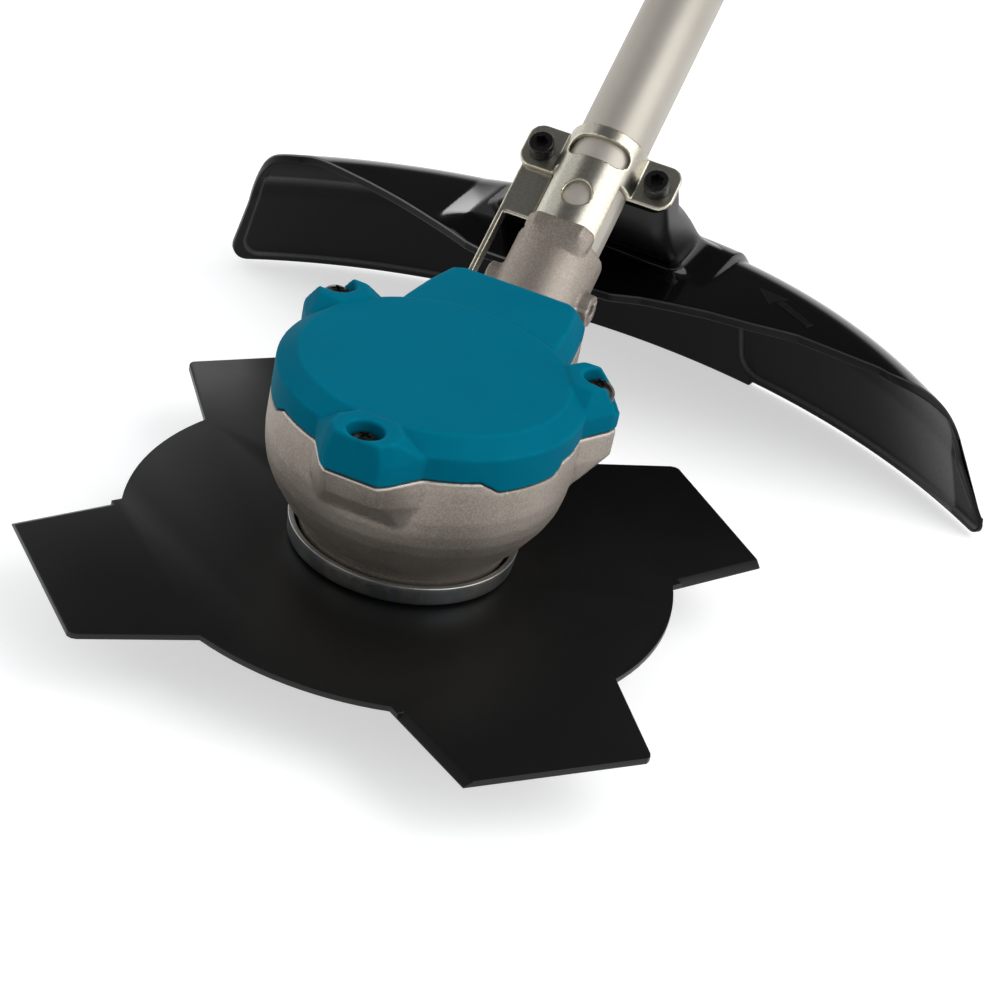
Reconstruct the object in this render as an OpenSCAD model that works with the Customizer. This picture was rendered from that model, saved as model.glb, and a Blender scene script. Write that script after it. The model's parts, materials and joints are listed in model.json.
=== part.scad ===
// Brush cutter head: a direct-drive motor in a cast housing turns a flat steel blade,
// a slanted pipe carries the housing, and a moulded guard is clamped to that pipe.
// The origin is on the spindle axis, on the flat underside that the head stands on.
// +Z runs up the spindle, and the pipe leans towards +Y.

/* [Blade] */
// Diameter over the tooth tips
blade_d = 230; // [210:1:240]
// Diameter of the round body between the teeth
blade_body_d = 167.7; // [150:0.1:180]
// Thickness of the blade plate
blade_t = 2; // [1.4:0.1:3]
// Diameter of the centre bore
blade_bore_d = 25.4; // [20:0.1:30]
// Number of teeth
blade_teeth = 4; // [3:1:5]
// Angle that one tooth end spans
tooth_span = 29; // [20:0.5:34]
// Angle by which a tooth root is wider on each side
tooth_flare = 10.4; // [6:0.1:14]
// Angle of the first tooth's cutting corner
tooth_start = 212.4; // [180:0.1:270]
// Width of the ground bevel on each cutting edge
bevel_w = 2.6; // [1:0.1:5]

/* [Blade mounting] */
// Height of the glide cup under the blade
cup_h = 20.5; // [16:0.5:30]
// Radius of the glide cup's rim
cup_rim_r = 32; // [28:0.5:45]
// Radius of the flat ring that the cup glides on
cup_foot_r = 24; // [20:0.5:28]
// Radius of the well that hides the nut
cup_well_r = 14.5; // [13:0.5:17]
// Sheet thickness of the glide cup
cup_t = 2.2; // [1.5:0.1:3]
// Thickness of the clamp washer
clamp_t = 2.5; // [1.5:0.1:4]
// Radius of the clamp washer
clamp_r = 27; // [20:0.5:32]
// Radius of the receiver washer's rim
receiver_r = 35; // [34.6:0.1:40]
// Height of the receiver washer's rim above the blade
receiver_h = 7; // [5:0.5:9]
// Sheet thickness of the receiver washer
receiver_t = 1.8; // [1.2:0.1:2.5]
// Width across the flats of the blade nut
blade_nut_af = 17; // [15:0.5:19]
// Height of the blade nut
blade_nut_h = 9; // [7:0.5:11]
// Diameter of the spindle's lower thread
spindle_thread_d = 10; // [8:1:11]

/* [Spindle and bearings] */
// Diameter of the spindle in the bearings
spindle_d = 12; // [11:0.5:13]
// Diameter of the spindle's collar under the lower bearing
collar_d = 17; // [15.5:0.5:19]
// Gap between the blade and the housing's underside
housing_lift = 3.6; // [3.2:0.1:6]
// Outer diameter of the lower bearing
lower_od = 32; // [30:1:34]
// Width of the lower bearing
lower_w = 10; // [8:0.5:12]
// Outer diameter of the upper bearing
upper_od = 28; // [26:1:29]
// Width of the upper bearing
upper_w = 8; // [7:0.5:10]
// Distance from the lower bearing's top to the upper bearing's foot
bearing_span = 16; // [12:0.5:18]
// Height of the spindle seal
seal_h = 5; // [4:0.5:6]
// Thickness of the bearing circlip
circlip_t = 1.2; // [0.8:0.1:1.6]

/* [Motor] */
// Radius of the stator over its pole shoes
stator_r = 31; // [29:0.5:32]
// Height of the stator's steel stack
stator_h = 16; // [12:0.5:17]
// Number of stator teeth
stator_teeth = 12; // [9:3:12]
// Gap between the stator and the magnets
air_gap = 0.6; // [0.4:0.1:1]
// Thickness of the magnets
magnet_t = 2.8; // [2:0.1:3.2]
// Number of magnets
magnet_count = 14; // [10:2:16]
// Wall of the rotor bell
bell_wall = 2.8; // [2:0.1:3.2]
// Thickness of the sensor board
board_t = 1.6; // [1:0.1:2]

/* [Housing] */
// Outer radius of the housing and cover
body_r = 45.7; // [45:0.1:50]
// Wall of the housing
body_wall = 3.2; // [2.5:0.1:4]
// Height of the joint between housing and cover
seam_z = 75; // [72:0.5:80]
// Thickness of the cover gasket
gasket_t = 0.6; // [0.4:0.1:1]
// Height of the cover's flat top
cover_top_z = 87; // [86:0.5:92]
// Wall of the cover
cover_wall = 3; // [2:0.1:3.5]
// Radius of the circle of the cover screws
screw_circle_r = 49.4; // [48.5:0.1:53]
// Diameter of the cover screws' thread
screw_d = 4.2; // [3:0.1:5]
// Diameter of the cover screws' head
screw_head_d = 9.2; // [8:0.1:10]
// Length of the tail from the spindle axis
tail_y = 68.5; // [64:0.5:72]
// Half width of the tail where it leaves the round body
tail_half_w = 28; // [26:0.5:32]

/* [Pipe and socket] */
// Outer diameter of the pipe
pipe_d = 24; // [22:0.5:26]
// Wall of the pipe
pipe_wall = 1.5; // [1:0.1:2]
// Angle of the pipe above the blade plane
pipe_angle = 36.47; // [34:0.1:39]
// Height at which the pipe axis meets the spindle axis
pipe_cross_z = 4.72; // [3:0.1:7]
// Distance along the pipe axis to the pipe's lower end
pipe_start = 92; // [88:1:96]
// Length of the pipe
pipe_len = 240; // [200:1:600]
// Length of the pipe's free end, past the depth groove
pipe_plug_len = 60; // [40:1:80]
// Distance along the pipe axis to the socket's mouth
socket_end = 131; // [126:0.5:133]
// Wall of the socket
socket_wall = 2.6; // [2:0.1:4]
// Distance along the pipe axis to the lock screws
lock_at = 114; // [108:0.5:118]
// Diameter of the lock screws
lock_d = 5; // [4:0.5:6]
// Diameter of the motor cable
cable_d = 8; // [6:0.5:9]

/* [Guard clamp] */
// Distance along the pipe axis to the clamp bolts
clamp_at = 163; // [158:0.5:170]
// Length of the clamp saddle along the pipe
saddle_len = 16.4; // [14:0.1:22]
// Sheet thickness of the saddle and the bracket
sheet_t = 1.8; // [1.2:0.1:2.5]
// Distance of each clamp bolt from the pipe axis
clamp_bolt_x = 20.3; // [19:0.1:24]
// Half width over the saddle's ears
saddle_half_w = 26.9; // [26.5:0.1:34]
// Diameter of the clamp bolts
clamp_bolt_d = 5; // [4:0.5:6]
// Length of the clamp bolts under the head
clamp_bolt_len = 26; // [24:1:32]

/* [Guard] */
// Radius of the guard's skirt at its lower edge
guard_r = 222; // [200:1:240]
// Distance of the guard's arc centre behind the spindle
guard_back = 7; // [0:0.5:15]
// Angle that the guard spans to the left of the pipe
guard_left_angle = 41.7; // [34:0.1:46]
// Angle that the guard spans to the right of the pipe
guard_right_angle = 43.2; // [34:0.1:46]
// Angle by which the guard sits turned to the right of the pipe
guard_turn = 0.9; // [0:0.1:2]
// Height of the guard's top
guard_top_z = 58; // [54:0.5:60]
// Drop of the guard's top at its left tip
guard_left_droop = 4; // [0:0.5:10]
// Drop of the guard's top at its right tip
guard_right_droop = 8; // [0:0.5:10]
// Radius of the rounded shoulder between top and skirt
guard_shoulder = 25; // [15:1:30]
// How far the skirt leans outwards from shoulder to lower edge
guard_lean = 8; // [2:0.5:14]
// Wall of the guard
guard_wall = 3; // [2:0.1:4]
// Distance from the spindle axis to the front edge of the guard's top
guard_front_y = 150; // [146:0.5:154]

/* [Hidden] */
$fn = 96;

// Clearances
fit_gap = 0.05;
air = 0.3;
overcut = 1;

// Heights of the blade stack
clamp_z = cup_h;
blade_z = clamp_z + clamp_t;
blade_top = blade_z + blade_t;
housing_z = blade_top + housing_lift;
well_roof_z = cup_h - cup_t;
nut_z = well_roof_z - blade_nut_h;
spindle_end_z = nut_z - 3;
collar_z = housing_z - 0.3;

// Heights of the bearings
spindle_r = spindle_d / 2;
seal_z = housing_z + 0.6;
circlip_z = seal_z + seal_h + 0.1;
lower_z = circlip_z + circlip_t;
lower_top = lower_z + lower_w;
upper_z = lower_top + bearing_span;
upper_top = upper_z + upper_w;
hub_r = upper_od / 2 + 3;
hub_low_r = lower_od / 2 + 3.5;
ball_count = 8;

// Heights of the motor
stator_z = lower_top + 4.5;
stator_top = stator_z + stator_h;
insulator_t = 1;
coil_over = 3.5;
magnet_in_r = stator_r + air_gap;
bell_in_r = magnet_in_r + magnet_t;
bell_out_r = bell_in_r + bell_wall;
bell_plate_z = stator_top + insulator_t + coil_over + 2.2;
bell_plate_t = 2.5;
bell_hub_r = 10;
bell_hub_top = bell_plate_z + bell_plate_t + 1.5;
bell_low_z = stator_z - 1.5;
rotor_nut_h = 5;
rotor_nut_af = 13;
rotor_thread_r = 4;
tooth_w = 4.6;
yoke_w = 4;
shoe_t = 2;
tooth_root_r = hub_r + yoke_w;
coil_w = 2.5;
coil_in_r = tooth_root_r + 0.8;
coil_out_r = sqrt(pow(stator_r - shoe_t, 2) - pow(tooth_w / 2 + coil_w, 2)) - air;
board_z = stator_z - insulator_t - coil_over - board_t - 1.2;
board_r = stator_r + 2.5;
board_screw_circle_r = board_r - 4;
board_screw_r = 1.25;
floor_z = housing_z + 7.4;

// Housing and cover
body_in_r = body_r - body_wall;
neck_r = receiver_r - receiver_t - 1.2;
rim_z = seam_z - gasket_t;
cover_in_r = body_r - cover_wall;
plateau_r = body_r - 5.7;
cover_shoulder_z = cover_top_z - 4.7;
front_boss = 270;
side_bosses = [30, 150];
boss_angles = concat([front_boss], side_bosses);
boss_reach = screw_circle_r + 6;
boss_top_z = cover_top_z + 0.8;
recess_r = screw_head_d / 2 + 0.8;
screw_head_h = 3.4;
screw_seat_z = seam_z + 6;
screw_len = 15;
tail_top_z = cover_top_z - 0.8;
lip_t = 1.7;
lip_drop = 3.7;
lip_angle = 332;

// Pipe frame: along the pipe axis is +Z, and away from the ground is -Y
pipe_r = pipe_d / 2;
pipe_in_r = pipe_r - pipe_wall;
pipe_end = pipe_start + pipe_len;
socket_r = pipe_r + fit_gap + socket_wall;
socket_root = pipe_start - 22;
lock_boss_r = lock_d / 2 + 2.8;
lock_boss_x = pipe_r + 6;
lock_hole_r = lock_d / 2 + fit_gap;
ear_u = 0.2;
ear_top_u = ear_u + sheet_t;
ear_corner_r = 5;
saddle_in_r = pipe_r + fit_gap;
saddle_out_r = saddle_in_r + sheet_t;
saddle_offset = 1.2;
saddle_start = clamp_at + saddle_offset - saddle_len / 2;
saddle_end = saddle_start + saddle_len;
tongue_start = socket_end + 3.5;
tongue_half_angle = 52.6;
window_r = 4.7;
bolt_hole_r = clamp_bolt_d / 2 + 0.25;
bolt_head_r = clamp_bolt_d * 0.85;
clamp_nut_af = clamp_bolt_d * 1.6;
clamp_nut_h = clamp_bolt_d * 0.8;
block_half_w = saddle_half_w - 1;
block_top_u = ear_u - sheet_t;
block_low_u = ear_top_u - clamp_bolt_len + clamp_nut_h + 1;
nut_roof_u = block_low_u + 0.5;
connector_len = 18;
connector_r = pipe_in_r - fit_gap;
pin_r = 1.6;

module in_pipe_frame() {
    translate([0, 0, pipe_cross_z]) rotate([pipe_angle - 90, 0, 0]) children();
}

module at_bosses(angles = boss_angles) {
    for (a = angles) rotate([0, 0, a]) translate([screw_circle_r, 0, 0]) children();
}

module ring(r_in, r_out, h) {
    difference() {
        cylinder(r = r_out, h = h);
        translate([0, 0, -overcut]) cylinder(r = r_in, h = h + 2 * overcut);
    }
}

module hex(af, h) {
    cylinder(d = af / cos(30), h = h, $fn = 6);
}

// Blade

function polar(r, a) = [r * cos(a), r * sin(a)];
function tooth_corners(a) = [
    polar(blade_body_d / 2 * 0.9, a - tooth_flare),
    polar(blade_body_d / 2, a - tooth_flare),
    polar(blade_d / 2, a),
    polar(blade_d / 2, a + tooth_span - 0.9),
    polar(blade_d / 2 - 0.5, a + tooth_span - 0.2),
    polar(blade_d / 2 - 1.6, a + tooth_span + 0.3),
    polar(blade_body_d / 2, a + tooth_span + tooth_flare),
    polar(blade_body_d / 2 * 0.9, a + tooth_span + tooth_flare)
];
edge_run = polar(blade_d / 2, 0) - polar(blade_body_d / 2, -tooth_flare);
edge_angle = atan2(edge_run[1], edge_run[0]);
edge_len = norm(edge_run);

// A wedge that grinds one cutting edge, on the upper or on the lower face
module bevel_cut(a, face_z, up) {
    rotate([0, 0, a])
        translate([blade_d / 2, 0, face_z])
            rotate([0, 0, edge_angle + 180])
                rotate([90, 0, 90])
                    translate([0, 0, -overcut])
                        linear_extrude(edge_len * 0.93)
                            polygon([[overcut, -up * blade_t * 0.75], [0, -up * blade_t * 0.75],
                                     [-bevel_w, 0], [-bevel_w, up * overcut], [overcut, up * overcut]]);
}

module blade() {
    color([0.14, 0.14, 0.14]) difference() {
        translate([0, 0, blade_z]) linear_extrude(blade_t) difference() {
            union() {
                circle(d = blade_body_d);
                for (i = [0 : blade_teeth - 1]) polygon(tooth_corners(tooth_start + i * 360 / blade_teeth));
            }
            circle(d = blade_bore_d);
        }
        for (i = [0 : blade_teeth - 1]) bevel_cut(tooth_start + i * 360 / blade_teeth, blade_top, 1);
    }
}

// Blade mounting

module receiver_washer() {
    color([0.6, 0.63, 0.66]) difference() {
        union() {
            translate([0, 0, blade_top]) rotate_extrude() polygon([
                [0, 0], [receiver_r - 2, 0], [receiver_r - 0.6, 1], [receiver_r, receiver_h],
                [receiver_r - receiver_t, receiver_h], [receiver_r - receiver_t - 1, receiver_t + 0.6],
                [receiver_r - receiver_t - 2, receiver_t], [collar_d / 2 + 3, receiver_t],
                [collar_d / 2 + 2, housing_lift - 0.3], [0, housing_lift - 0.3]
            ]);
            translate([0, 0, blade_top - blade_t + 0.2])
                cylinder(d = blade_bore_d - 2 * fit_gap, h = blade_t);
        }
        translate([0, 0, blade_z]) cylinder(r = spindle_r + fit_gap, h = receiver_h + blade_t);
    }
}

module clamp_washer() {
    color([0.6, 0.63, 0.66]) translate([0, 0, clamp_z]) rotate_extrude() polygon([
        [spindle_r + fit_gap, 0], [clamp_r - 2.5, 0], [clamp_r, 1.2], [clamp_r, clamp_t],
        [spindle_r + fit_gap, clamp_t]
    ]);
}

module glide_cup() {
    color([0.55, 0.57, 0.6]) rotate_extrude() polygon([
        [cup_well_r - cup_t, 0], [cup_foot_r, 0], [cup_foot_r + 3, 1.2], [cup_rim_r, cup_h - 5],
        [cup_rim_r, cup_h - 3.5], [cup_rim_r - cup_t, cup_h - 3.5], [cup_foot_r + 1.5, cup_t + 0.6],
        [cup_foot_r, cup_t], [cup_well_r, cup_t], [cup_well_r, cup_h], [spindle_thread_d / 2 + 0.2, cup_h],
        [spindle_thread_d / 2 + 0.2, well_roof_z], [cup_well_r - cup_t, well_roof_z]
    ]);
}

module blade_nut() {
    color([0.3, 0.31, 0.33]) difference() {
        union() {
            translate([0, 0, nut_z]) hex(blade_nut_af, blade_nut_h);
            translate([0, 0, well_roof_z - 2]) cylinder(r = blade_nut_af / 2 + 2, h = 2);
        }
        translate([0, 0, nut_z - overcut])
            cylinder(r = spindle_thread_d / 2 + fit_gap, h = blade_nut_h + 2 * overcut);
    }
}

// Spindle, bearings and rotor

module spindle() {
    color([0.62, 0.63, 0.66]) rotate_extrude() polygon([
        [0, spindle_end_z], [spindle_thread_d / 2 - 1, spindle_end_z],
        [spindle_thread_d / 2, spindle_end_z + 1], [spindle_thread_d / 2, clamp_z],
        [spindle_r, clamp_z], [spindle_r, collar_z], [collar_d / 2, collar_z],
        [collar_d / 2, lower_z], [spindle_r, lower_z], [spindle_r, bell_hub_top],
        [rotor_thread_r, bell_hub_top], [rotor_thread_r, bell_hub_top + rotor_nut_h + 0.5],
        [0, bell_hub_top + rotor_nut_h + 0.5]
    ]);
}

module rotor_bell() {
    color([0.35, 0.36, 0.38]) difference() {
        rotate_extrude() polygon([
            [spindle_r + fit_gap, upper_top], [bell_hub_r - 1.5, upper_top], [bell_hub_r, upper_top + 1.5],
            [bell_hub_r, bell_plate_z], [bell_in_r, bell_plate_z], [bell_in_r, bell_low_z],
            [bell_out_r, bell_low_z], [bell_out_r, bell_plate_z + 1],
            [bell_out_r - 1.5, bell_plate_z + bell_plate_t], [bell_hub_r, bell_plate_z + bell_plate_t],
            [bell_hub_r, bell_hub_top], [spindle_r + fit_gap, bell_hub_top]
        ]);
        for (i = [0 : 5]) rotate([0, 0, i * 60])
            translate([(bell_hub_r + bell_in_r) / 2, 0, bell_plate_z - overcut])
                cylinder(r = 6, h = bell_plate_t + 2 * overcut);
    }
}

module rotor_magnets() {
    pitch = 360 / magnet_count;
    color([0.22, 0.22, 0.24]) for (i = [0 : magnet_count - 1]) rotate([0, 0, i * pitch])
        translate([0, 0, stator_z - 0.5]) rotate_extrude(angle = pitch * 0.88)
            translate([magnet_in_r, 0]) square([magnet_t, stator_h + 1]);
}

module rotor_nut() {
    color([0.5, 0.5, 0.52]) translate([0, 0, bell_hub_top]) difference() {
        hex(rotor_nut_af, rotor_nut_h);
        translate([0, 0, -overcut]) cylinder(r = rotor_thread_r + fit_gap, h = rotor_nut_h + 2 * overcut);
    }
}

// Ball bearings: pitch radius and ball radius follow from the bore and the outer diameter
function ball_pitch_r(od) = (spindle_r + od / 2) / 2;
function ball_r(od) = (od / 2 - spindle_r) * 0.28;

module groove(od, w) {
    rotate_extrude() translate([ball_pitch_r(od), w / 2]) circle(r = ball_r(od) + 0.1);
}

module inner_race(od, w) {
    color("silver") difference() {
        ring(spindle_r + fit_gap / 2, ball_pitch_r(od) - ball_r(od) * 0.55, w);
        groove(od, w);
    }
}

module outer_race(od, w) {
    color("silver") difference() {
        ring(ball_pitch_r(od) + ball_r(od) * 0.55, od / 2, w);
        groove(od, w);
    }
}

module at_balls(od, w) {
    for (i = [0 : ball_count - 1]) rotate([0, 0, i * 360 / ball_count])
        translate([ball_pitch_r(od), 0, w / 2]) children();
}

module balls(od, w) {
    color("gainsboro") at_balls(od, w) sphere(r = ball_r(od));
}

module cage(od, w) {
    color([0.75, 0.65, 0.35]) difference() {
        translate([0, 0, w / 2 - ball_r(od) - 0.7])
            ring(ball_pitch_r(od) - ball_r(od) * 0.4, ball_pitch_r(od) + ball_r(od) * 0.4,
                 2 * ball_r(od) + 1.4);
        at_balls(od, w) rotate([0, 90, 0])
            cylinder(r = ball_r(od) + 0.1, h = 1.4 * ball_r(od), center = true);
    }
}

module lower_inner_race() { translate([0, 0, lower_z]) inner_race(lower_od, lower_w); }
module lower_outer_race() { translate([0, 0, lower_z]) outer_race(lower_od, lower_w); }
module lower_bearing_balls() { translate([0, 0, lower_z]) balls(lower_od, lower_w); }
module lower_bearing_cage() { translate([0, 0, lower_z]) cage(lower_od, lower_w); }
module upper_inner_race() { translate([0, 0, upper_z]) inner_race(upper_od, upper_w); }
module upper_outer_race() { translate([0, 0, upper_z]) outer_race(upper_od, upper_w); }
module upper_bearing_balls() { translate([0, 0, upper_z]) balls(upper_od, upper_w); }
module upper_bearing_cage() { translate([0, 0, upper_z]) cage(upper_od, upper_w); }

module spindle_seal() {
    color([0.12, 0.12, 0.12]) translate([0, 0, seal_z]) rotate_extrude() polygon([
        [collar_d / 2 + air, 0], [lower_od / 2, 0], [lower_od / 2, seal_h], [lower_od / 2 - 2, seal_h],
        [lower_od / 2 - 2, 1.5], [collar_d / 2 + 2.2, 1.5], [collar_d / 2 + 1.6, seal_h - 0.6],
        [collar_d / 2 + air, seal_h - 1.4]
    ]);
}

module bearing_circlip() {
    color([0.4, 0.4, 0.42]) translate([0, 0, circlip_z]) rotate([0, 0, 110]) rotate_extrude(angle = 320)
        translate([lower_od / 2 - 2, 0]) square([2.8, circlip_t]);
}

// Housing and cover

// Outline of the tail, drawn in by an inset
function tail_half(i) = [
    [tail_half_w - i, 28], [tail_half_w - i, 36], [tail_half_w - 1.5 - i, 50],
    [tail_half_w - 4 - i, tail_y - 2.5 - i], [tail_half_w - 9 - i / 2, tail_y - i]
];
function tail_outline(i) =
    concat(tail_half(i), [for (k = [4 : -1 : 0]) [-tail_half(i)[k][0], tail_half(i)[k][1]]]);

// Outline of a screw boss in a frame whose +X points outwards through the screw
function boss_half(slim) = [
    [body_r - 3.5 - screw_circle_r, 17 - slim], [boss_reach - 2.5 - screw_circle_r, 10.6 - slim],
    [boss_reach - screw_circle_r, 8.2 - slim]
];
function boss_outline(slim) =
    concat(boss_half(slim), [for (k = [2 : -1 : 0]) [boss_half(slim)[k][0], -boss_half(slim)[k][1]]]);
function boss_top_half(reach, slim) =
    [[-9.2, 5.5], [-3.9, 9.6 - slim], [reach - 3.6, 9.6 - slim], [reach, 6.4]];
function boss_top_outline(reach, slim) = concat(
    boss_top_half(reach, slim),
    [for (k = [3 : -1 : 0]) [boss_top_half(reach, slim)[k][0], -boss_top_half(reach, slim)[k][1]]]);
// The side bosses are slimmer than the front one
function boss_slim(a) = a == front_boss ? 0 : 1.4;
function boss_top_reach(a) = a == front_boss ? recess_r + 0.5 : 0.8;

module slab(points, z_low, z_high) {
    translate([0, 0, z_low]) linear_extrude(z_high - z_low) polygon(points);
}

// The side lip of the cover, or with a gap the notch for it in the housing
module lip(side, gap) {
    reach = body_r * sin(20);
    out_slope = reach * 0.24 / lip_drop;
    in_slope = reach * 0.42 / lip_drop;
    intersection() {
        translate([0, 0, seam_z - lip_drop - gap])
            ring(body_r - lip_t - gap, body_r + (gap > 0 ? overcut : 0), lip_drop + 2 * gap);
        rotate([0, 0, side > 0 ? lip_angle : 180 - lip_angle]) rotate([90, 0, 90])
            linear_extrude(body_r + 2 * overcut) polygon([
                [-side * (reach + gap * (2 + 2 * in_slope)), seam_z + 2 * gap],
                [side * (reach + gap * (2 + 2 * out_slope)), seam_z + 2 * gap],
                [side * (reach * 0.76 + gap * (2 - 2 * out_slope)), seam_z - lip_drop - 2 * gap],
                [-side * (reach * 0.58 + gap * (2 - 2 * in_slope)), seam_z - lip_drop - 2 * gap]
            ]);
    }
}

module socket_disc(r, at, h = 4) {
    in_pipe_frame() translate([0, 0, at]) cylinder(r = r, h = h, $fn = 32);
}

module housing_tail() {
    hull() {
        slab(tail_outline(0), seam_z - 8, rim_z);
        socket_disc(socket_r + 0.8, socket_root + 8);
        translate([0, 24, floor_z + 1.5]) cylinder(r = 12, h = 8, $fn = 32);
    }
}

module housing_tail_cavity() {
    hull() {
        slab(tail_outline(body_wall), seam_z - 7, seam_z + overcut);
        socket_disc(pipe_in_r - 1, socket_root + 8);
        translate([0, 27, floor_z + 4.6]) cylinder(r = 9, h = 8, $fn = 32);
    }
}

// The bowl's outer curve: share of the way from the neck to the full radius, and height above the underside
bowl_curve = [
    [0, 4.4], [0.08, 6.6], [0.22, 8.6], [0.4, 11.6], [0.57, 15.2], [0.76, 19.2], [0.89, 23.2], [0.96, 27.4],
    [1, 32.4]
];

module housing_bowl() {
    rotate_extrude() polygon(concat(
        [[0, housing_z], [neck_r - 1, housing_z], [neck_r - 0.2, housing_z + 1.9]],
        [for (p = bowl_curve) [neck_r + (body_r - neck_r) * p[0], housing_z + p[1]]],
        [[body_r, rim_z], [0, rim_z]]));
}

// The room for the motor around the bearing hub
module motor_room() {
    rotate_extrude() polygon([
        [hub_low_r, floor_z], [neck_r - 2.2, floor_z], [body_in_r - 9.2, floor_z + 4],
        [body_in_r - 3.2, floor_z + 12], [body_in_r - 1, floor_z + 17], [body_in_r, floor_z + 24],
        [body_in_r, seam_z + overcut], [0, seam_z + overcut], [0, upper_top], [hub_r, upper_top],
        [hub_r, lower_top + 1.2], [hub_low_r, lower_top + 1.2]
    ]);
}

module bearing_bores() {
    translate([0, 0, housing_z - overcut])
        cylinder(d = lower_od + 2 * fit_gap, h = lower_top - housing_z + overcut);
    translate([0, 0, circlip_z]) cylinder(r = lower_od / 2 + 1, h = circlip_t);
    translate([0, 0, lower_z]) cylinder(r = upper_od / 2 - 2, h = upper_top - lower_z);
    translate([0, 0, upper_z]) cylinder(d = upper_od + 2 * fit_gap, h = upper_w + overcut);
}

module housing_bosses() {
    for (a = boss_angles) rotate([0, 0, a]) hull() {
        translate([screw_circle_r, 0, 0]) slab(boss_outline(boss_slim(a)), rim_z - 8.5, rim_z);
        translate([body_r - 6, -13, rim_z - 17]) cube([3.8, 26, 1]);
    }
}

module board_posts() {
    for (i = [0 : 2]) rotate([0, 0, 30 + i * 120]) translate([board_screw_circle_r, 0, floor_z - overcut])
        cylinder(r = 2.8, h = board_z - floor_z + overcut);
}

// The raised stop on top of the socket's mouth: it rises out of the socket to a crest and ends in facets
stop_crest_u = socket_r + 1.6;
stop_half_w = 8;
stop_foot_w = 11.4;
module stop_section(s, crest_u, crest_w) {
    translate([0, 0, s]) linear_extrude(0.2) polygon([
        [-stop_foot_w + 1, -5], [-stop_foot_w, -socket_r + 2.6], [-crest_w, -crest_u], [crest_w, -crest_u],
        [stop_foot_w, -socket_r + 2.6], [stop_foot_w - 1, -5]]);
}
module socket_stop() {
    in_pipe_frame() hull() {
        translate([0, 0, socket_end - 6.5]) linear_extrude(0.2)
            polygon([[-9, -5], for (a = [-42 : 14 : 42]) polar(socket_r - 0.1, a - 90), [9, -5]]);
        stop_section(socket_end - 1, stop_crest_u, stop_half_w);
        stop_section(socket_end + 3, stop_crest_u - 0.4, stop_half_w);
    }
}

module lock_bosses() {
    in_pipe_frame() translate([-lock_boss_x, 0, lock_at]) rotate([0, 90, 0])
        cylinder(r = lock_boss_r, h = 2 * lock_boss_x);
}

module motor_housing() {
    color([0.55, 0.51, 0.47]) difference() {
        union() {
            difference() {
                union() {
                    housing_bowl();
                    housing_bosses();
                    housing_tail();
                    socket_disc_exact();
                }
                motor_room();
                housing_tail_cavity();
            }
            board_posts();
            socket_stop();
            lock_bosses();
        }
        bearing_bores();
        pipe_bores();
        for (side = [-1, 1]) lip(side, air);
        at_bosses() translate([0, 0, screw_seat_z - screw_len - overcut])
            cylinder(d = screw_d + 2 * fit_gap, h = screw_len + overcut);
        for (i = [0 : 2]) rotate([0, 0, 30 + i * 120]) translate([board_screw_circle_r, 0, board_z - 5])
            cylinder(r = board_screw_r + fit_gap, h = 5 + overcut);
        in_pipe_frame() translate([-lock_boss_x - overcut, 0, lock_at]) rotate([0, 90, 0])
            cylinder(r = lock_hole_r, h = 2 * lock_boss_x + 2 * overcut);
    }
}

module socket_disc_exact() {
    in_pipe_frame() translate([0, 0, socket_root]) cylinder(r = socket_r, h = socket_end - socket_root);
}

module pipe_bores() {
    in_pipe_frame() {
        translate([0, 0, pipe_start]) cylinder(r = pipe_r + fit_gap, h = socket_end - pipe_start + 10);
        translate([0, 0, socket_root + 6]) cylinder(r = pipe_in_r - 1, h = pipe_start - socket_root);
    }
}

module motor_cover() {
    color([0, 0.41, 0.51]) difference() {
        union() {
            rotate_extrude() polygon([
                [cover_in_r, seam_z], [body_r, seam_z], [body_r, cover_shoulder_z], [plateau_r, cover_top_z],
                [0, cover_top_z], [0, cover_top_z - cover_wall], [plateau_r - 1, cover_top_z - cover_wall],
                [cover_in_r, cover_shoulder_z - 1]
            ]);
            difference() {
                hull() {
                    slab(tail_outline(0), seam_z, seam_z + 5);
                    slab(tail_outline(3.2), tail_top_z - 1, tail_top_z);
                }
                hull() {
                    slab(tail_outline(cover_wall), seam_z - overcut, seam_z + 4);
                    slab(tail_outline(3.2 + cover_wall), tail_top_z - cover_wall - 1,
                         tail_top_z - cover_wall);
                }
                translate([0, 0, seam_z - overcut]) cylinder(r = plateau_r - 1, h = cover_top_z - seam_z);
            }
            for (a = boss_angles) rotate([0, 0, a]) translate([screw_circle_r, 0, 0]) hull() {
                slab(boss_outline(boss_slim(a)), seam_z, screw_seat_z);
                slab(boss_top_outline(boss_top_reach(a), boss_slim(a)), boss_top_z - 0.5, boss_top_z);
            }
            for (side = [-1, 1]) lip(side, 0);
        }
        tail_opening();
        at_bosses() translate([0, 0, seam_z - overcut]) cylinder(r = screw_d / 2 + 0.2, h = cover_top_z);
        at_bosses() translate([0, 0, screw_seat_z]) cylinder(r = recess_r, h = cover_top_z);
        at_bosses(side_bosses) translate([0, -recess_r, screw_seat_z])
            cube([boss_reach, 2 * recess_r, cover_top_z]);
    }
}

// The way through the cover's round wall into its tail
module tail_opening() {
    translate([0, 0, seam_z - overcut]) linear_extrude(cover_shoulder_z - seam_z - 1)
        polygon([for (p = tail_outline(cover_wall)) [p[0], min(p[1], body_r + 4)]]);
}

module cover_gasket() {
    color([0.08, 0.08, 0.08]) translate([0, 0, rim_z]) linear_extrude(gasket_t) difference() {
        union() {
            circle(r = body_r - lip_t - 2 * air);
            polygon(tail_outline(1.2));
        }
        circle(r = cover_in_r + 0.1);
        polygon(tail_outline(2.4));
    }
}

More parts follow.
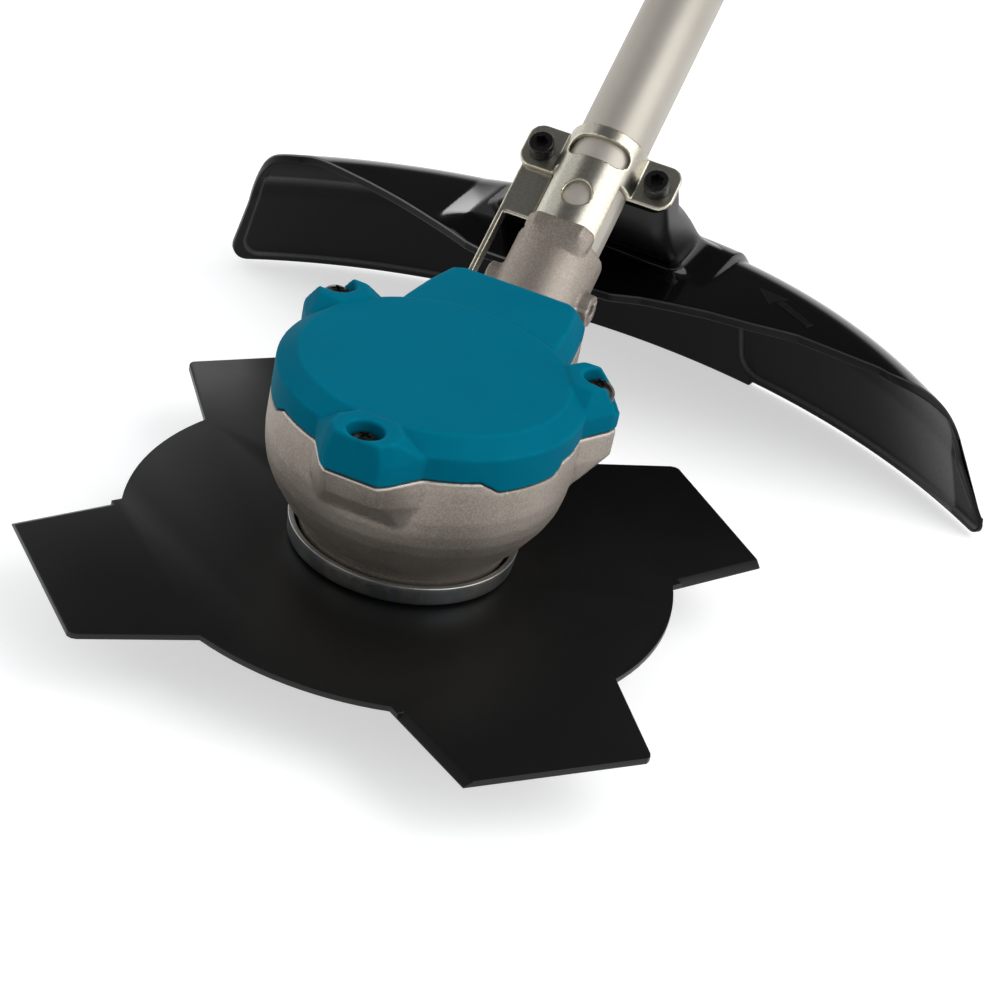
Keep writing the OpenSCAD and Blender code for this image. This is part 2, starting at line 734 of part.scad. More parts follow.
module cover_screws() {
    color([0.1, 0.1, 0.1]) at_bosses() {
        translate([0, 0, screw_seat_z]) rotate_extrude() polygon([
            [0, 0], [screw_head_d / 2, 0], [screw_head_d / 2, 1.6],
            [screw_head_d / 2 - 1, screw_head_h - 0.5],
            [screw_head_d / 2 - 2.4, screw_head_h], [1.6, screw_head_h], [0, screw_head_h - 1.6]
        ]);
        translate([0, 0, screw_seat_z - screw_len + overcut]) cylinder(d = screw_d, h = screw_len);
    }
}

// Stator

module stator_outline() {
    pitch = 360 / stator_teeth;
    difference() {
        union() {
            circle(r = tooth_root_r);
            for (i = [0 : stator_teeth - 1]) rotate([0, 0, i * pitch]) {
                translate([0, -tooth_w / 2]) square([stator_r - shoe_t / 2, tooth_w]);
                intersection() {
                    difference() {
                        circle(r = stator_r);
                        circle(r = stator_r - shoe_t);
                    }
                    polygon([[0, 0], polar(2 * stator_r, -pitch * 0.4), polar(2 * stator_r, pitch * 0.4)]);
                }
            }
        }
        circle(r = hub_r + fit_gap);
    }
}

module stator_core() {
    color([0.5, 0.5, 0.52]) translate([0, 0, stator_z]) linear_extrude(stator_h) stator_outline();
}

module stator_insulators() {
    color([0.9, 0.88, 0.8]) for (z = [stator_z - insulator_t, stator_top])
        translate([0, 0, z]) linear_extrude(insulator_t) stator_outline();
}

module stator_windings() {
    color([0.72, 0.42, 0.2]) for (i = [0 : stator_teeth - 1]) rotate([0, 0, i * 360 / stator_teeth])
        translate([coil_in_r, 0, stator_z - insulator_t - coil_over]) difference() {
            translate([0, -tooth_w / 2 - coil_w, 0])
                cube([coil_out_r - coil_in_r, tooth_w + 2 * coil_w,
                      stator_h + 2 * (insulator_t + coil_over)]);
            translate([-overcut, -tooth_w / 2 - fit_gap, coil_over - fit_gap])
                cube([stator_r, tooth_w + 2 * fit_gap, stator_h + 2 * (insulator_t + fit_gap)]);
        }
}

module sensor_board() {
    color([0.1, 0.35, 0.2]) translate([0, 0, board_z]) difference() {
        union() {
            ring(hub_low_r + 0.6, board_r, board_t);
            translate([-6, board_r - 3, 0]) cube([12, cable_bend[0][0] - board_r + 3, board_t]);
            for (i = [-1 : 1]) rotate([0, 0, 210 + i * 20])
                translate([stator_r - 4, -2, board_t - 0.4]) cube([3, 4, 1.4]);
        }
        for (i = [0 : 2]) rotate([0, 0, 30 + i * 120]) translate([board_screw_circle_r, 0, -overcut])
            cylinder(r = board_screw_r + 0.2, h = board_t + 2 * overcut);
    }
}

module board_screws() {
    color("silver") for (i = [0 : 2])
        rotate([0, 0, 30 + i * 120]) translate([board_screw_circle_r, 0, board_z]) {
        translate([0, 0, board_t]) cylinder(r = 2.2, h = 0.9);
        translate([0, 0, -4.5]) cylinder(r = board_screw_r, h = 4.5 + board_t + 0.5);
    }
}

// Cable, pipe and connector

// Hand-picked points of the cable's bend, as distances from the spindle axis and heights
cable_bend = [[42.5, 46.6], [46, 46.6], [50, 46.9], [54, 48], [58, 50]];
cable_side_count = 10;
cable_run_start = 82;
cable_run_end = pipe_end - connector_len - 2;
function on_pipe_axis(s) = [s * cos(pipe_angle), pipe_cross_z + s * sin(pipe_angle)];
function run_at(k) = cable_run_start + (cable_run_end - cable_run_start) * k / 5;
cable_route = concat(cable_bend, [for (k = [0 : 5]) on_pipe_axis(run_at(k))]);
function route_dir(k) =
    let (a = cable_route[max(k - 1, 0)], b = cable_route[min(k + 1, len(cable_route) - 1)])
        (b - a) / norm(b - a);

module motor_cable() {
    n = len(cable_route);
    points = [for (k = [0 : n - 1]) for (j = [0 : cable_side_count - 1])
        let (d = route_dir(k), a = j * 360 / cable_side_count, w = cable_d / 2 * sin(a))
            [cable_d / 2 * cos(a), cable_route[k][0] - d[1] * w, cable_route[k][1] + d[0] * w]];
    sides = [for (k = [0 : n - 2]) for (j = [0 : cable_side_count - 1])
        let (p = k * cable_side_count + j, q = k * cable_side_count + (j + 1) % cable_side_count)
            each [[p, p + cable_side_count, q], [q, p + cable_side_count, q + cable_side_count]]];
    ends = concat(
        [for (j = [1 : cable_side_count - 2]) [0, j, j + 1]],
        [for (j = [1 : cable_side_count - 2]) let (e = (n - 1) * cable_side_count) [e, e + j + 1, e + j]]);
    color([0.1, 0.1, 0.1]) polyhedron(points, concat(sides, ends));
}

module cable_grommet() {
    color([0.15, 0.15, 0.15]) in_pipe_frame() translate([0, 0, pipe_start - 6])
        ring(cable_d / 2 + air, pipe_in_r - 1 - fit_gap, 5.5);
}

module shaft_pipe() {
    color([0.78, 0.78, 0.77]) in_pipe_frame() difference() {
        translate([0, 0, pipe_start]) cylinder(r = pipe_r, h = pipe_len);
        translate([0, 0, pipe_start - overcut]) cylinder(r = pipe_in_r, h = pipe_len + 2 * overcut);
        translate([0, 0, pipe_end - pipe_plug_len - 1.5]) ring(pipe_r - 0.4, pipe_r + overcut, 1.5);
        translate([-pipe_d, 0, lock_at]) rotate([0, 90, 0]) cylinder(r = lock_hole_r, h = 2 * pipe_d);
    }
}

module pipe_lock_screws() {
    color([0.12, 0.12, 0.12]) in_pipe_frame() for (side = [-1, 1])
        translate([side * (pipe_in_r + 0.4), 0, lock_at]) rotate([0, side * 90, 0]) difference() {
            cylinder(d = lock_d, h = 6);
            translate([0, 0, 3]) hex(lock_d / 2, 3 + overcut);
        }
}

module connector_body() {
    color([0.1, 0.1, 0.1]) in_pipe_frame() translate([0, 0, pipe_end - connector_len - 1]) difference() {
        cylinder(r = connector_r, h = connector_len);
        for (i = [0 : 3]) rotate([0, 0, 45 + i * 90]) translate([connector_r / 2, 0, 1])
            cylinder(r = pin_r + fit_gap, h = connector_len);
    }
}

module connector_pins() {
    color([0.8, 0.65, 0.3]) in_pipe_frame() translate([0, 0, pipe_end - connector_len - 1])
        for (i = [0 : 3]) rotate([0, 0, 45 + i * 90]) translate([connector_r / 2, 0, 1.2])
            cylinder(r = pin_r, h = connector_len - 0.6);
}

// Guard and its clamp

// Angles from the pipe's side of the arc, closer together where the outline turns
corner_r = 7;
corner_angle = corner_r / guard_r * 180 / PI;
pad_half_angle = 12.2;
step_right = 13.4;
step_left = -20.8;
guard_angles = concat(
    [for (k = [0 : 5]) -guard_left_angle + corner_angle * (1 - cos(k * 18))],
    [-34, -30, -26, -22, step_left - 1, step_left, -pad_half_angle - 0.4, -pad_half_angle, -10, -6, -2, 2, 6,
     10, pad_half_angle, pad_half_angle + 0.4, step_right, step_right + 1, 18, 22, 26, 30, 34, 37],
    [for (k = [5 : -1 : 0]) guard_right_angle - corner_angle * (1 - cos(k * 18))]);
edge_z = 2;
guard_raise = 3;
skirt_r = guard_r - guard_lean;
flat_r = skirt_r - guard_shoulder;

function on_pad(a) = abs(a) <= pad_half_angle;
function raised(a) = a >= step_left && a <= step_right;
function tip_angle(a) = a < 0 ? guard_left_angle : guard_right_angle;
function droop(a) = a < 0
    ? guard_left_droop * pow(a / guard_left_angle, 2)
    : guard_right_droop * pow(a / guard_right_angle, 3);
function front_z(a) = guard_top_z - droop(a);
function top_z(a) = front_z(a) + (raised(a) ? guard_raise : 0);
function low_z(a) =
    let (d = max(0, abs(a) - tip_angle(a) + corner_angle) / corner_angle)
        on_pad(a) ? 0 : edge_z + corner_r * (1 - sqrt(max(0, 1 - d * d)));
// Hand-picked shape of the front edge: angle, and how far it lies behind or before the straight edge
front_shape = [
    [-41, 9], [-38.8, 9.4], [-32.8, 4.9], [-29.2, 1], [-24, -6], [-20, -12], [-17, -14], [2, -13], [5, -12.5],
    [9.6, -7.5], [14, -4.6], [19, -1.5], [25, 0.7], [30, 4], [36, 3], [39, 2.7], [42, -0.7], [44, -1]
];
function front_y(a) = guard_front_y + lookup(a, front_shape);
function front_r(a) = min(flat_r + 8, (front_y(a) - guard_back) / cos(a));
// The shoulder arc starts where the front edge has already bent over it
function start_bend(a) = asin(max(0, front_r(a) - flat_r) / guard_shoulder);
function bend(a, k) = start_bend(a) + (90 - start_bend(a)) * max(k, 0.04) / 5;

// One section of the shell: the outer face from the front edge to the lower edge, then the inner face back
function outer_face(a) = concat(
    [[front_r(a), front_z(a) - guard_shoulder * (1 - cos(start_bend(a)))]],
    [for (k = [0 : 5])
        [flat_r + guard_shoulder * sin(bend(a, k)), top_z(a) - guard_shoulder * (1 - cos(bend(a, k)))]],
    [[skirt_r + guard_lean * (1 - low_z(a) / guard_top_z), low_z(a)]]);
function inner_face(a) =
    let (w = guard_wall, s = guard_shoulder - w) concat(
        [[front_r(a) - w * sin(start_bend(a)), front_z(a) - w - s * (1 - cos(start_bend(a)))]],
        [for (k = [0 : 5]) [flat_r + s * sin(bend(a, k)), top_z(a) - w - s * (1 - cos(bend(a, k)))]],
        [[skirt_r + guard_lean * (1 - low_z(a) / guard_top_z) - w, low_z(a)]]);
// The ends lean, so that the guard spans a little less angle at its top than at its lower edge
left_end_lean = 0.06;
right_end_lean = 0.2;
function end_lean(a) = a < 0 ? left_end_lean : right_end_lean;
function in_place(p, a) =
    let (b = guard_turn + a * (1 - end_lean(a) * p[1] / guard_top_z))
        [p[0] * sin(b), guard_back + p[0] * cos(b), p[1]];

module guard_shell() {
    n = len(guard_angles);
    half = len(outer_face(0));
    ring_n = 2 * half;
    points = [for (a = guard_angles) each concat(
        [for (p = outer_face(a)) in_place(p, a)],
        [for (k = [half - 1 : -1 : 0]) in_place(inner_face(a)[k], a)])];
    sides = [for (i = [0 : n - 2]) for (j = [0 : ring_n - 1])
        let (p = i * ring_n + j, q = i * ring_n + (j + 1) % ring_n)
            each [[p, q, p + ring_n], [q, q + ring_n, p + ring_n]]];
    ends = [for (j = [0 : half - 2]) for (e = [0, n - 1])
        let (o = e * ring_n, a = o + j, b = o + j + 1, c = o + ring_n - 2 - j, d = o + ring_n - 1 - j)
            each e == 0 ? [[a, d, b], [b, d, c]] : [[a, b, d], [b, c, d]]];
    polyhedron(points, concat(sides, ends));
}

// The hump that carries the clamp: an arm that leans back from the pipe down to the guard's raised top
hump_root_u = block_low_u + 5;
hump_inset = 0.3;
hump_front_y = 167;
hump_back_y = 196;
hump_left_x = -44;
hump_right_x = 26;
hump_skew = 4;
nut_pocket = 8;
module clamp_block(inset, u_high, u_low) {
    in_pipe_frame() translate([-block_half_w + inset, -u_high, saddle_start + inset])
        cube([2 * (block_half_w - inset), u_high - u_low, saddle_len - 1 - 2 * inset]);
}
module hump_foot(inset, depth) {
    high = guard_top_z + guard_raise + 0.5 - inset;
    translate([0, 0, high - depth]) linear_extrude(depth) polygon([
        [hump_left_x + hump_skew / 2 + inset, hump_front_y - hump_skew + inset],
        [hump_right_x - hump_skew - inset, hump_front_y + hump_skew + inset],
        [hump_right_x + hump_skew - inset, hump_back_y - inset],
        [hump_left_x - hump_skew / 2 + inset, hump_back_y - inset]]);
}

module guard() {
    color([0.05, 0.05, 0.05]) difference() {
        union() {
            guard_shell();
            clamp_block(0, block_top_u, block_low_u);
            hull() {
                clamp_block(hump_inset, hump_root_u, block_low_u + hump_inset);
                hump_foot(0, 4);
            }
        }
        hull() {
            clamp_block(guard_wall, nut_roof_u, block_low_u - 5);
            hump_foot(guard_wall, 12);
        }
        in_pipe_frame() translate([0, 0, tongue_start]) cylinder(r = pipe_r + fit_gap, h = 90);
        at_clamp_bolts() translate([0, 0, nut_roof_u - nut_pocket]) {
            cylinder(r = bolt_hole_r, h = 100);
            hex(clamp_nut_af + air, nut_pocket);
        }
    }
}

module at_clamp_bolts() {
    in_pipe_frame() for (x = [-clamp_bolt_x, clamp_bolt_x])
        translate([x, 0, clamp_at]) rotate([90, 0, 0]) children();
}

// An ear or plate lying in the plane of the pipe axis, with two rounded corners
module plate(x_low, x_high, s_low, s_high, u_low, u_high) {
    translate([x_low, -u_high, s_low]) cube([x_high - x_low, u_high - u_low, s_high - s_low]);
}

module ear(side) {
    outer_x = side * saddle_half_w;
    inner_x = side * (saddle_in_r + 0.2);
    middle_x = side * (saddle_half_w - ear_corner_r);
    plate(min(inner_x, middle_x), max(inner_x, middle_x), saddle_start, saddle_end, ear_u, ear_top_u);
    plate(min(outer_x, middle_x), max(outer_x, middle_x),
          saddle_start + ear_corner_r, saddle_end - ear_corner_r, ear_u, ear_top_u);
    for (s = [saddle_start + ear_corner_r, saddle_end - ear_corner_r])
        translate([middle_x, -ear_u, s]) rotate([90, 0, 0]) cylinder(r = ear_corner_r, h = sheet_t);
}

module guard_clamp() {
    slot_r = 4;
    slot_half = 6.4;
    color([0.75, 0.74, 0.68]) in_pipe_frame() difference() {
        union() {
            intersection() {
                translate([0, 0, saddle_start]) ring(saddle_in_r, saddle_out_r, saddle_len);
                plate(-saddle_out_r, saddle_out_r, saddle_start, saddle_end, ear_u, saddle_out_r + overcut);
            }
            intersection() {
                translate([0, 0, tongue_start])
                    ring(saddle_in_r, saddle_out_r, saddle_start - tongue_start + 1);
                translate([0, 0, tongue_start]) linear_extrude(saddle_start - tongue_start + 1)
                    polygon([[0, 0], polar(40, 270 - tongue_half_angle), [0, -60],
                             polar(40, 270 + tongue_half_angle)]);
            }
            ear(-1);
            ear(1);
        }
        for (x = [-clamp_bolt_x, clamp_bolt_x]) translate([x, 0, clamp_at]) rotate([90, 0, 0])
            translate([0, 0, -overcut]) cylinder(r = bolt_hole_r, h = 10);
        for (x = [-slot_half, slot_half]) translate([x, 0, clamp_at + 1]) rotate([90, 0, 0])
            cylinder(r = slot_r, h = 40);
        plate(-slot_half, slot_half, clamp_at + 1 - slot_r, clamp_at + 1 + slot_r, 4, 40);
        translate([0, 0, (tongue_start + saddle_start) / 2 + 0.6]) rotate([90, 0, 0])
            cylinder(r = window_r, h = 40);
    }
}

module guard_bracket() {
    flange_in_x = -pipe_r - 1.6;
    side_x = -saddle_half_w + sheet_t;
    color([0.7, 0.7, 0.66]) in_pipe_frame() difference() {
        union() {
            plate(side_x, flange_in_x, tongue_start + 4, saddle_end, ear_u - sheet_t, ear_u);
            plate(side_x, side_x + sheet_t, lock_at - 1, saddle_start - 3.5, ear_u - 5, ear_u);
        }
        translate([-clamp_bolt_x, 0, clamp_at]) rotate([90, 0, 0]) translate([0, 0, -20])
            cylinder(r = bolt_hole_r, h = 40);
    }
}

module clamp_bolts() {
    color([0.08, 0.08, 0.08]) at_clamp_bolts() difference() {
        union() {
            translate([0, 0, ear_top_u]) cylinder(r = bolt_head_r, h = clamp_bolt_d);
            translate([0, 0, ear_top_u - clamp_bolt_len]) cylinder(d = clamp_bolt_d, h = clamp_bolt_len + 1);
        }
        translate([0, 0, ear_top_u + clamp_bolt_d / 2]) hex(clamp_bolt_d * 0.8, clamp_bolt_d);
    }
}

module clamp_nuts() {
    color("silver") at_clamp_bolts() translate([0, 0, nut_roof_u - clamp_nut_h]) difference() {
        hex(clamp_nut_af, clamp_nut_h);
        translate([0, 0, -overcut]) cylinder(r = clamp_bolt_d / 2 + fit_gap, h = clamp_nut_h + 2 * overcut);
    }
}

blade();
receiver_washer();
clamp_washer();
glide_cup();
blade_nut();
spindle();
rotor_bell();
rotor_magnets();
rotor_nut();
lower_inner_race();
upper_inner_race();
lower_outer_race();
upper_outer_race();
lower_bearing_balls();
upper_bearing_balls();
lower_bearing_cage();
upper_bearing_cage();
spindle_seal();
bearing_circlip();
motor_housing();
motor_cover();
cover_gasket();
cover_screws();
stator_core();
stator_insulators();
stator_windings();
sensor_board();
board_screws();
motor_cable();
cable_grommet();
shaft_pipe();
pipe_lock_screws();
guard();
guard_clamp();
guard_bracket();
clamp_bolts();
clamp_nuts();
connector_body();
connector_pins();
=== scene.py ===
"""Looks of a brush cutter head, built around its packed solids.

The packed model gives every piece its size and place. This script softens the cast and moulded
pieces, adds the details that the solids leave plain, gives each surface its finish and sets up a
plain studio. Lengths are written in millimetres, and MM turns them into the frame's metres.
"""

import json
import logging
import math
from collections.abc import Callable, Iterable, Iterator, Sequence
from contextlib import contextmanager
from dataclasses import dataclass
from enum import Enum

import bmesh
import bpy
import numpy as np
from mathutils import Matrix, Vector


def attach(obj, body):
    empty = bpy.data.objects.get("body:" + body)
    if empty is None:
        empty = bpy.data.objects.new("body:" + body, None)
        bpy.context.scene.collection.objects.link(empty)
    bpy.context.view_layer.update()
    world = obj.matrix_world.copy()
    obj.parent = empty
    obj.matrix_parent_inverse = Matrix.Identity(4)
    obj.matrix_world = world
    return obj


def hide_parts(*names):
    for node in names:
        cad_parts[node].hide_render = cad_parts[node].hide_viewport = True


MM = 0.001
LOG = logging.getLogger("brush_cutter")

Piece = bpy.types.Object
Point = tuple[float, float, float]
Colour = tuple[float, float, float]
Span = tuple[float, float]
Table = tuple[tuple[float, float], ...]
Outline = list[tuple[Vector, Vector]]

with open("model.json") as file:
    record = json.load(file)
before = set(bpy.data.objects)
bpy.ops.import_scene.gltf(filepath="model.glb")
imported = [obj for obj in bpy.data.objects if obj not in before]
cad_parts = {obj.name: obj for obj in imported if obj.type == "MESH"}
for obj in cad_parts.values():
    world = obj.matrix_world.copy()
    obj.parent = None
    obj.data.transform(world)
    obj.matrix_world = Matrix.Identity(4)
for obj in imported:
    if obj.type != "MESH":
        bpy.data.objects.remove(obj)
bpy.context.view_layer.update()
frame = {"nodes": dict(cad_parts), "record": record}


class Body(Enum):
    """The two bodies of the packed model."""

    HEAD = "head"
    ROTOR = "rotor"


class Side(Enum):
    """Left or right of the pipe, as the sign of X."""

    LEFT = -1
    RIGHT = 1


# Numbers and places


def srgb(red: int, green: int, blue: int) -> Colour:
    """A colour as it is seen on a screen, from 0 to 255, as linear light."""
    shares = [part / 255 for part in (red, green, blue)]
    return tuple(s / 12.92 if s <= 0.04045 else ((s + 0.055) / 1.055) ** 2.4 for s in shares)


def unit(x: float) -> float:
    """A number held between 0 and 1."""
    return min(1.0, max(0.0, x))


def smooth_step(low: float, high: float, x: float) -> float:
    """A smooth rise from 0 at low to 1 at high."""
    share = unit((x - low) / (high - low))
    return share * share * (3 - 2 * share)


def between(x: float, table: Table) -> float:
    """The value at x in a short table of hand-picked points, on straight lines between them."""
    return float(np.interp(x, [row[0] for row in table], [row[1] for row in table]))


def polar(r: float, angle: float) -> tuple[float, float]:
    """The point of the plane at a radius and an angle in radians."""
    return r * math.cos(angle), r * math.sin(angle)


def upright(x: float, y: float, z: float) -> Vector:
    """A point given in millimetres about the spindle axis."""
    return Vector((x, y, z)) * MM


def bent(start: Vector, corner: Vector, end: Vector, share: float) -> Vector:
    """A point on the arc that rounds a corner, at a share of the way."""
    return start.lerp(corner, share).lerp(corner.lerp(end, share), share)


class PipeFrame:
    """Places along the slanted pipe: x to the right, up off the ground, along from the spindle axis."""

    def __init__(self) -> None:
        """Reads the pipe's axis from the mount at its free end."""
        mount = next(m for m in frame["record"]["mounts"] if m["name"] == "pipe_end")
        self.along = Vector(mount["axis"]).normalized()
        self.up = Vector((0, -self.along.z, self.along.y))
        reach = Vector(mount["pos_m"])
        self.start = reach - self.along * (reach.y / self.along.y)

    def at(self, x: float, up: float, along: float) -> Vector:
        """The point of the frame at these three distances in millimetres."""
        return self.start + (Vector((1, 0, 0)) * x + self.up * up + self.along * along) * MM

    def turn(self) -> Matrix:
        """The rotation that stands +Z up from the pipe."""
        return Matrix((Vector((1, 0, 0)), self.along, self.up)).transposed()

    def tilt(self) -> float:
        """The angle between the pipe and the upright, in radians."""
        return math.atan2(self.along.y, self.along.z)


PIPE = PipeFrame()


# Shader maths


def operator(kind: str, turned: bool = False) -> Callable[["Value", "Value | float"], "Value"]:
    """A method that puts two values into a Math node, with the other one first if turned.

    Args:
        kind: Blender's name of the operation.
        turned: Whether the other value comes first.

    Returns:
        The method.
    """

    def method(self: "Value", other: "Value | float") -> "Value":
        """The result of the Math node."""
        return self.graph.math(kind, other, self) if turned else self.graph.math(kind, self, other)

    return method


class Value:
    """A socket that takes part in shader maths through Python's operators."""

    def __init__(self, graph: "Graph", socket: bpy.types.NodeSocket) -> None:
        """Wraps a socket of a graph."""
        self.graph = graph
        self.socket = socket

    __add__ = __radd__ = operator("ADD")
    __mul__ = __rmul__ = operator("MULTIPLY")
    __rsub__ = operator("SUBTRACT", turned=True)


class Tree:
    """A node tree that takes any node through one method."""

    def __init__(self, tree: bpy.types.NodeTree) -> None:
        """Wraps a tree."""
        self.tree = tree

    def node(self, kind: str, settings: dict | None = None, inputs: dict | None = None) -> bpy.types.Node:
        """Adds a node.

        Args:
            kind: Blender's name of the node's type.
            settings: Properties to set first.
            inputs: Plain values, or values and sockets to link, by the input's name or number.

        Returns:
            The new node.
        """
        made = self.tree.nodes.new(kind)
        for key, setting in (settings or {}).items():
            setattr(made, key, setting)
        for key, given in (inputs or {}).items():
            source = given.socket if isinstance(given, Value) else given
            if isinstance(source, bpy.types.NodeSocket):
                self.tree.links.new(source, made.inputs[key])
            else:
                made.inputs[key].default_value = source
        return made


class Graph(Tree):
    """The node tree of a material or a world."""

    def __init__(self, owner: bpy.types.Material | bpy.types.World) -> None:
        """Empties the owner's tree.

        Args:
            owner: The material or the world.
        """
        owner.use_nodes = True
        super().__init__(owner.node_tree)
        self.owner = owner
        self.tree.nodes.clear()
        self.where = self.node("ShaderNodeTexCoord")
        self.place = self.out(self.where, "Object")

    def out(self, node: bpy.types.Node, socket: str | int = 0) -> Value:
        """One output of a node, ready for maths."""
        return Value(self, node.outputs[socket])

    def value(self, kind: str, settings: dict | None, inputs: dict | None, socket: str | int = 0) -> Value:
        """One output of a new node."""
        return self.out(self.node(kind, settings, inputs), socket)

    def math(self, operation: str, first: Value | float, second: Value | float) -> Value:
        """A Math node on two values."""
        return self.value("ShaderNodeMath", {"operation": operation}, {0: first, 1: second})

    def stepped(self, x: Value, low: float, high: float) -> Value:
        """A smooth rise of a value from 0 at low to 1 at high."""
        return self.value("ShaderNodeMapRange", {"interpolation_type": "SMOOTHSTEP"},
                          {"Value": x, "From Min": low, "From Max": high})

    def noise(self, size_mm: float, detail: float, stretch: Point = (1, 1, 1),
              turn: Point = (0, 0, 0)) -> Value:
        """Noise over the piece.

        Args:
            size_mm: Size of a feature.
            detail: Octaves of finer noise.
            stretch: Factor on the scale along each axis; below 1 draws the pattern out.
            turn: Rotation of the pattern, in radians.

        Returns:
            The noise, from 0 to 1.
        """
        where = self.value("ShaderNodeMapping", None,
                           {"Vector": self.place, "Rotation": turn, "Scale": stretch})
        return self.value("ShaderNodeTexNoise", None,
                          {"Vector": where, "Scale": 1 / (size_mm * MM), "Detail": detail})

    def height(self) -> Value:
        """The height of a point above the floor, in metres."""
        return self.value("ShaderNodeSeparateXYZ", None, {0: self.place}, 2)

    def attribute(self, name: str) -> Value:
        """A number that the mesh carries at its points."""
        return self.value("ShaderNodeAttribute", {"attribute_name": name}, None, "Fac")

    def mix(self, share: Value | float, first: Value | Colour, second: Value | Colour) -> Value:
        """A colour between two others.

        Args:
            share: 0 for the first colour, 1 for the second.
            first: One colour.
            second: The other colour.

        Returns:
            The colour.
        """
        inputs = {0: share}
        for key, colour in ((6, first), (7, second)):
            inputs[key] = colour if isinstance(colour, Value) else (*colour, 1)
        return self.value("ShaderNodeMix", {"data_type": "RGBA"}, inputs, 2)

    def blend(self, share: Value, first: Value, second: Value) -> Value:
        """A shader between two others."""
        return self.value("ShaderNodeMixShader", None, {0: share, 1: first, 2: second})

    def ramp(self, share: Value, stops: Sequence[tuple[float, Colour]]) -> Value:
        """A colour that follows a value through given stops.

        Args:
            share: The value.
            stops: Place and colour of each stop.

        Returns:
            The colour.
        """
        made = self.node("ShaderNodeValToRGB", None, {0: share})
        elements = made.color_ramp.elements
        while len(elements) < len(stops):
            elements.new(1.0)
        for element, (position, colour) in zip(elements, stops):
            element.position = position
            element.color = (*colour, 1)
        return self.out(made)

    def bump(self, height: Value, depth_mm: float, below: Value | None = None) -> Value:
        """A normal that follows a height of up to depth_mm, on top of another normal if one is given.

        Args:
            height: The height, from 0 to 1.
            depth_mm: What a height of 1 stands for.
            below: The other normal.

        Returns:
            The normal.
        """
        inputs = {"Height": height, "Distance": depth_mm * MM, "Strength": 1.0}
        if below is not None:
            inputs["Normal"] = below
        return self.value("ShaderNodeBump", None, inputs)

    def principled(self, colour: Value, roughness: Value, normal: Value, metallic: float,
                   specular: float) -> Value:
        """A Principled shader.

        Args:
            colour: Base colour.
            roughness: Roughness over the surface.
            normal: Normal over the surface.
            metallic: One value for the whole surface.
            specular: Level of the mirror part, 0.5 for common glossy matter.

        Returns:
            The shader's output.
        """
        return self.value("ShaderNodeBsdfPrincipled", None, {
            "Base Color": colour, "Roughness": roughness, "Normal": normal, "Metallic": metallic,
            "Specular IOR Level": specular})

    def close(self, surface: Value) -> None:
        """Ends the tree of a material or a world."""
        kind = "World" if isinstance(self.owner, bpy.types.World) else "Material"
        self.node(f"ShaderNodeOutput{kind}", None, {"Surface": surface})


# Finishes


MADE: dict[str, bpy.types.Material] = {}


def spread(limits: Span, share: Value) -> Value:
    """A value between two limits."""
    low, high = limits
    return low + (high - low) * share


@dataclass(frozen=True)
class Finish:
    """A surface with a broad drift of tone, a fine grain and a range of roughness."""

    slot: str
    tone: Colour
    drift_tone: Colour
    metallic: float
    roughness: Span
    drift_mm: float = 18.0
    grain_mm: float = 0.5
    grain_depth_mm: float = 0.02
    edge_tone: Colour | None = None
    # Tone of the painted shade in hollows, or None for no painted shade.
    hollow_shade_tone: Colour | None = None
    specular: float = 0.5
    drift_span: Span = (0.3, 0.7)
    hollow_shade_share: float = 0.8
    wear_mm: float = 4.0
    wear_span: Span = (0.25, 0.6)

    def tones(self, graph: Graph) -> Value:
        """The base colour: two drifting tones, with worn edges and darker hollows where they are given.

        Args:
            graph: The material's graph.

        Returns:
            The colour.
        """
        drift = graph.stepped(graph.noise(self.drift_mm, 3.0), *self.drift_span)
        colour = graph.mix(drift, self.tone, self.drift_tone)
        # Painted shade: points that mark_curvature finds in hollows are darkened towards the hollow tone.
        if self.hollow_shade_tone:
            colour = graph.mix(graph.attribute("hollow") * self.hollow_shade_share, colour, self.hollow_shade_tone)
        if self.edge_tone:
            worn = graph.attribute("edge") * graph.stepped(graph.noise(self.wear_mm, 4.0), *self.wear_span)
            colour = graph.mix(worn, colour, self.edge_tone)
        return colour

    def gloss(self, graph: Graph) -> Value:
        """The roughness, which drifts between the finish's two limits."""
        return spread(self.roughness, graph.noise(self.drift_mm / 3, 4.0))

    def relief(self, graph: Graph) -> Value:
        """The normal, from the fine grain."""
        return graph.bump(graph.noise(self.grain_mm, 4.0), self.grain_depth_mm)

    def surface(self, graph: Graph) -> Value:
        """The shader of the finish."""
        return graph.principled(self.tones(graph), self.gloss(graph), self.relief(graph), self.metallic,
                                self.specular)

    def material(self) -> bpy.types.Material:
        """The material, made once and then shared.

        Returns:
            The material.
        """
        if self.slot not in MADE:
            MADE[self.slot] = bpy.data.materials.new(f"{self.slot}_finish")
            graph = Graph(MADE[self.slot])
            graph.close(self.surface(graph))
        return MADE[self.slot]


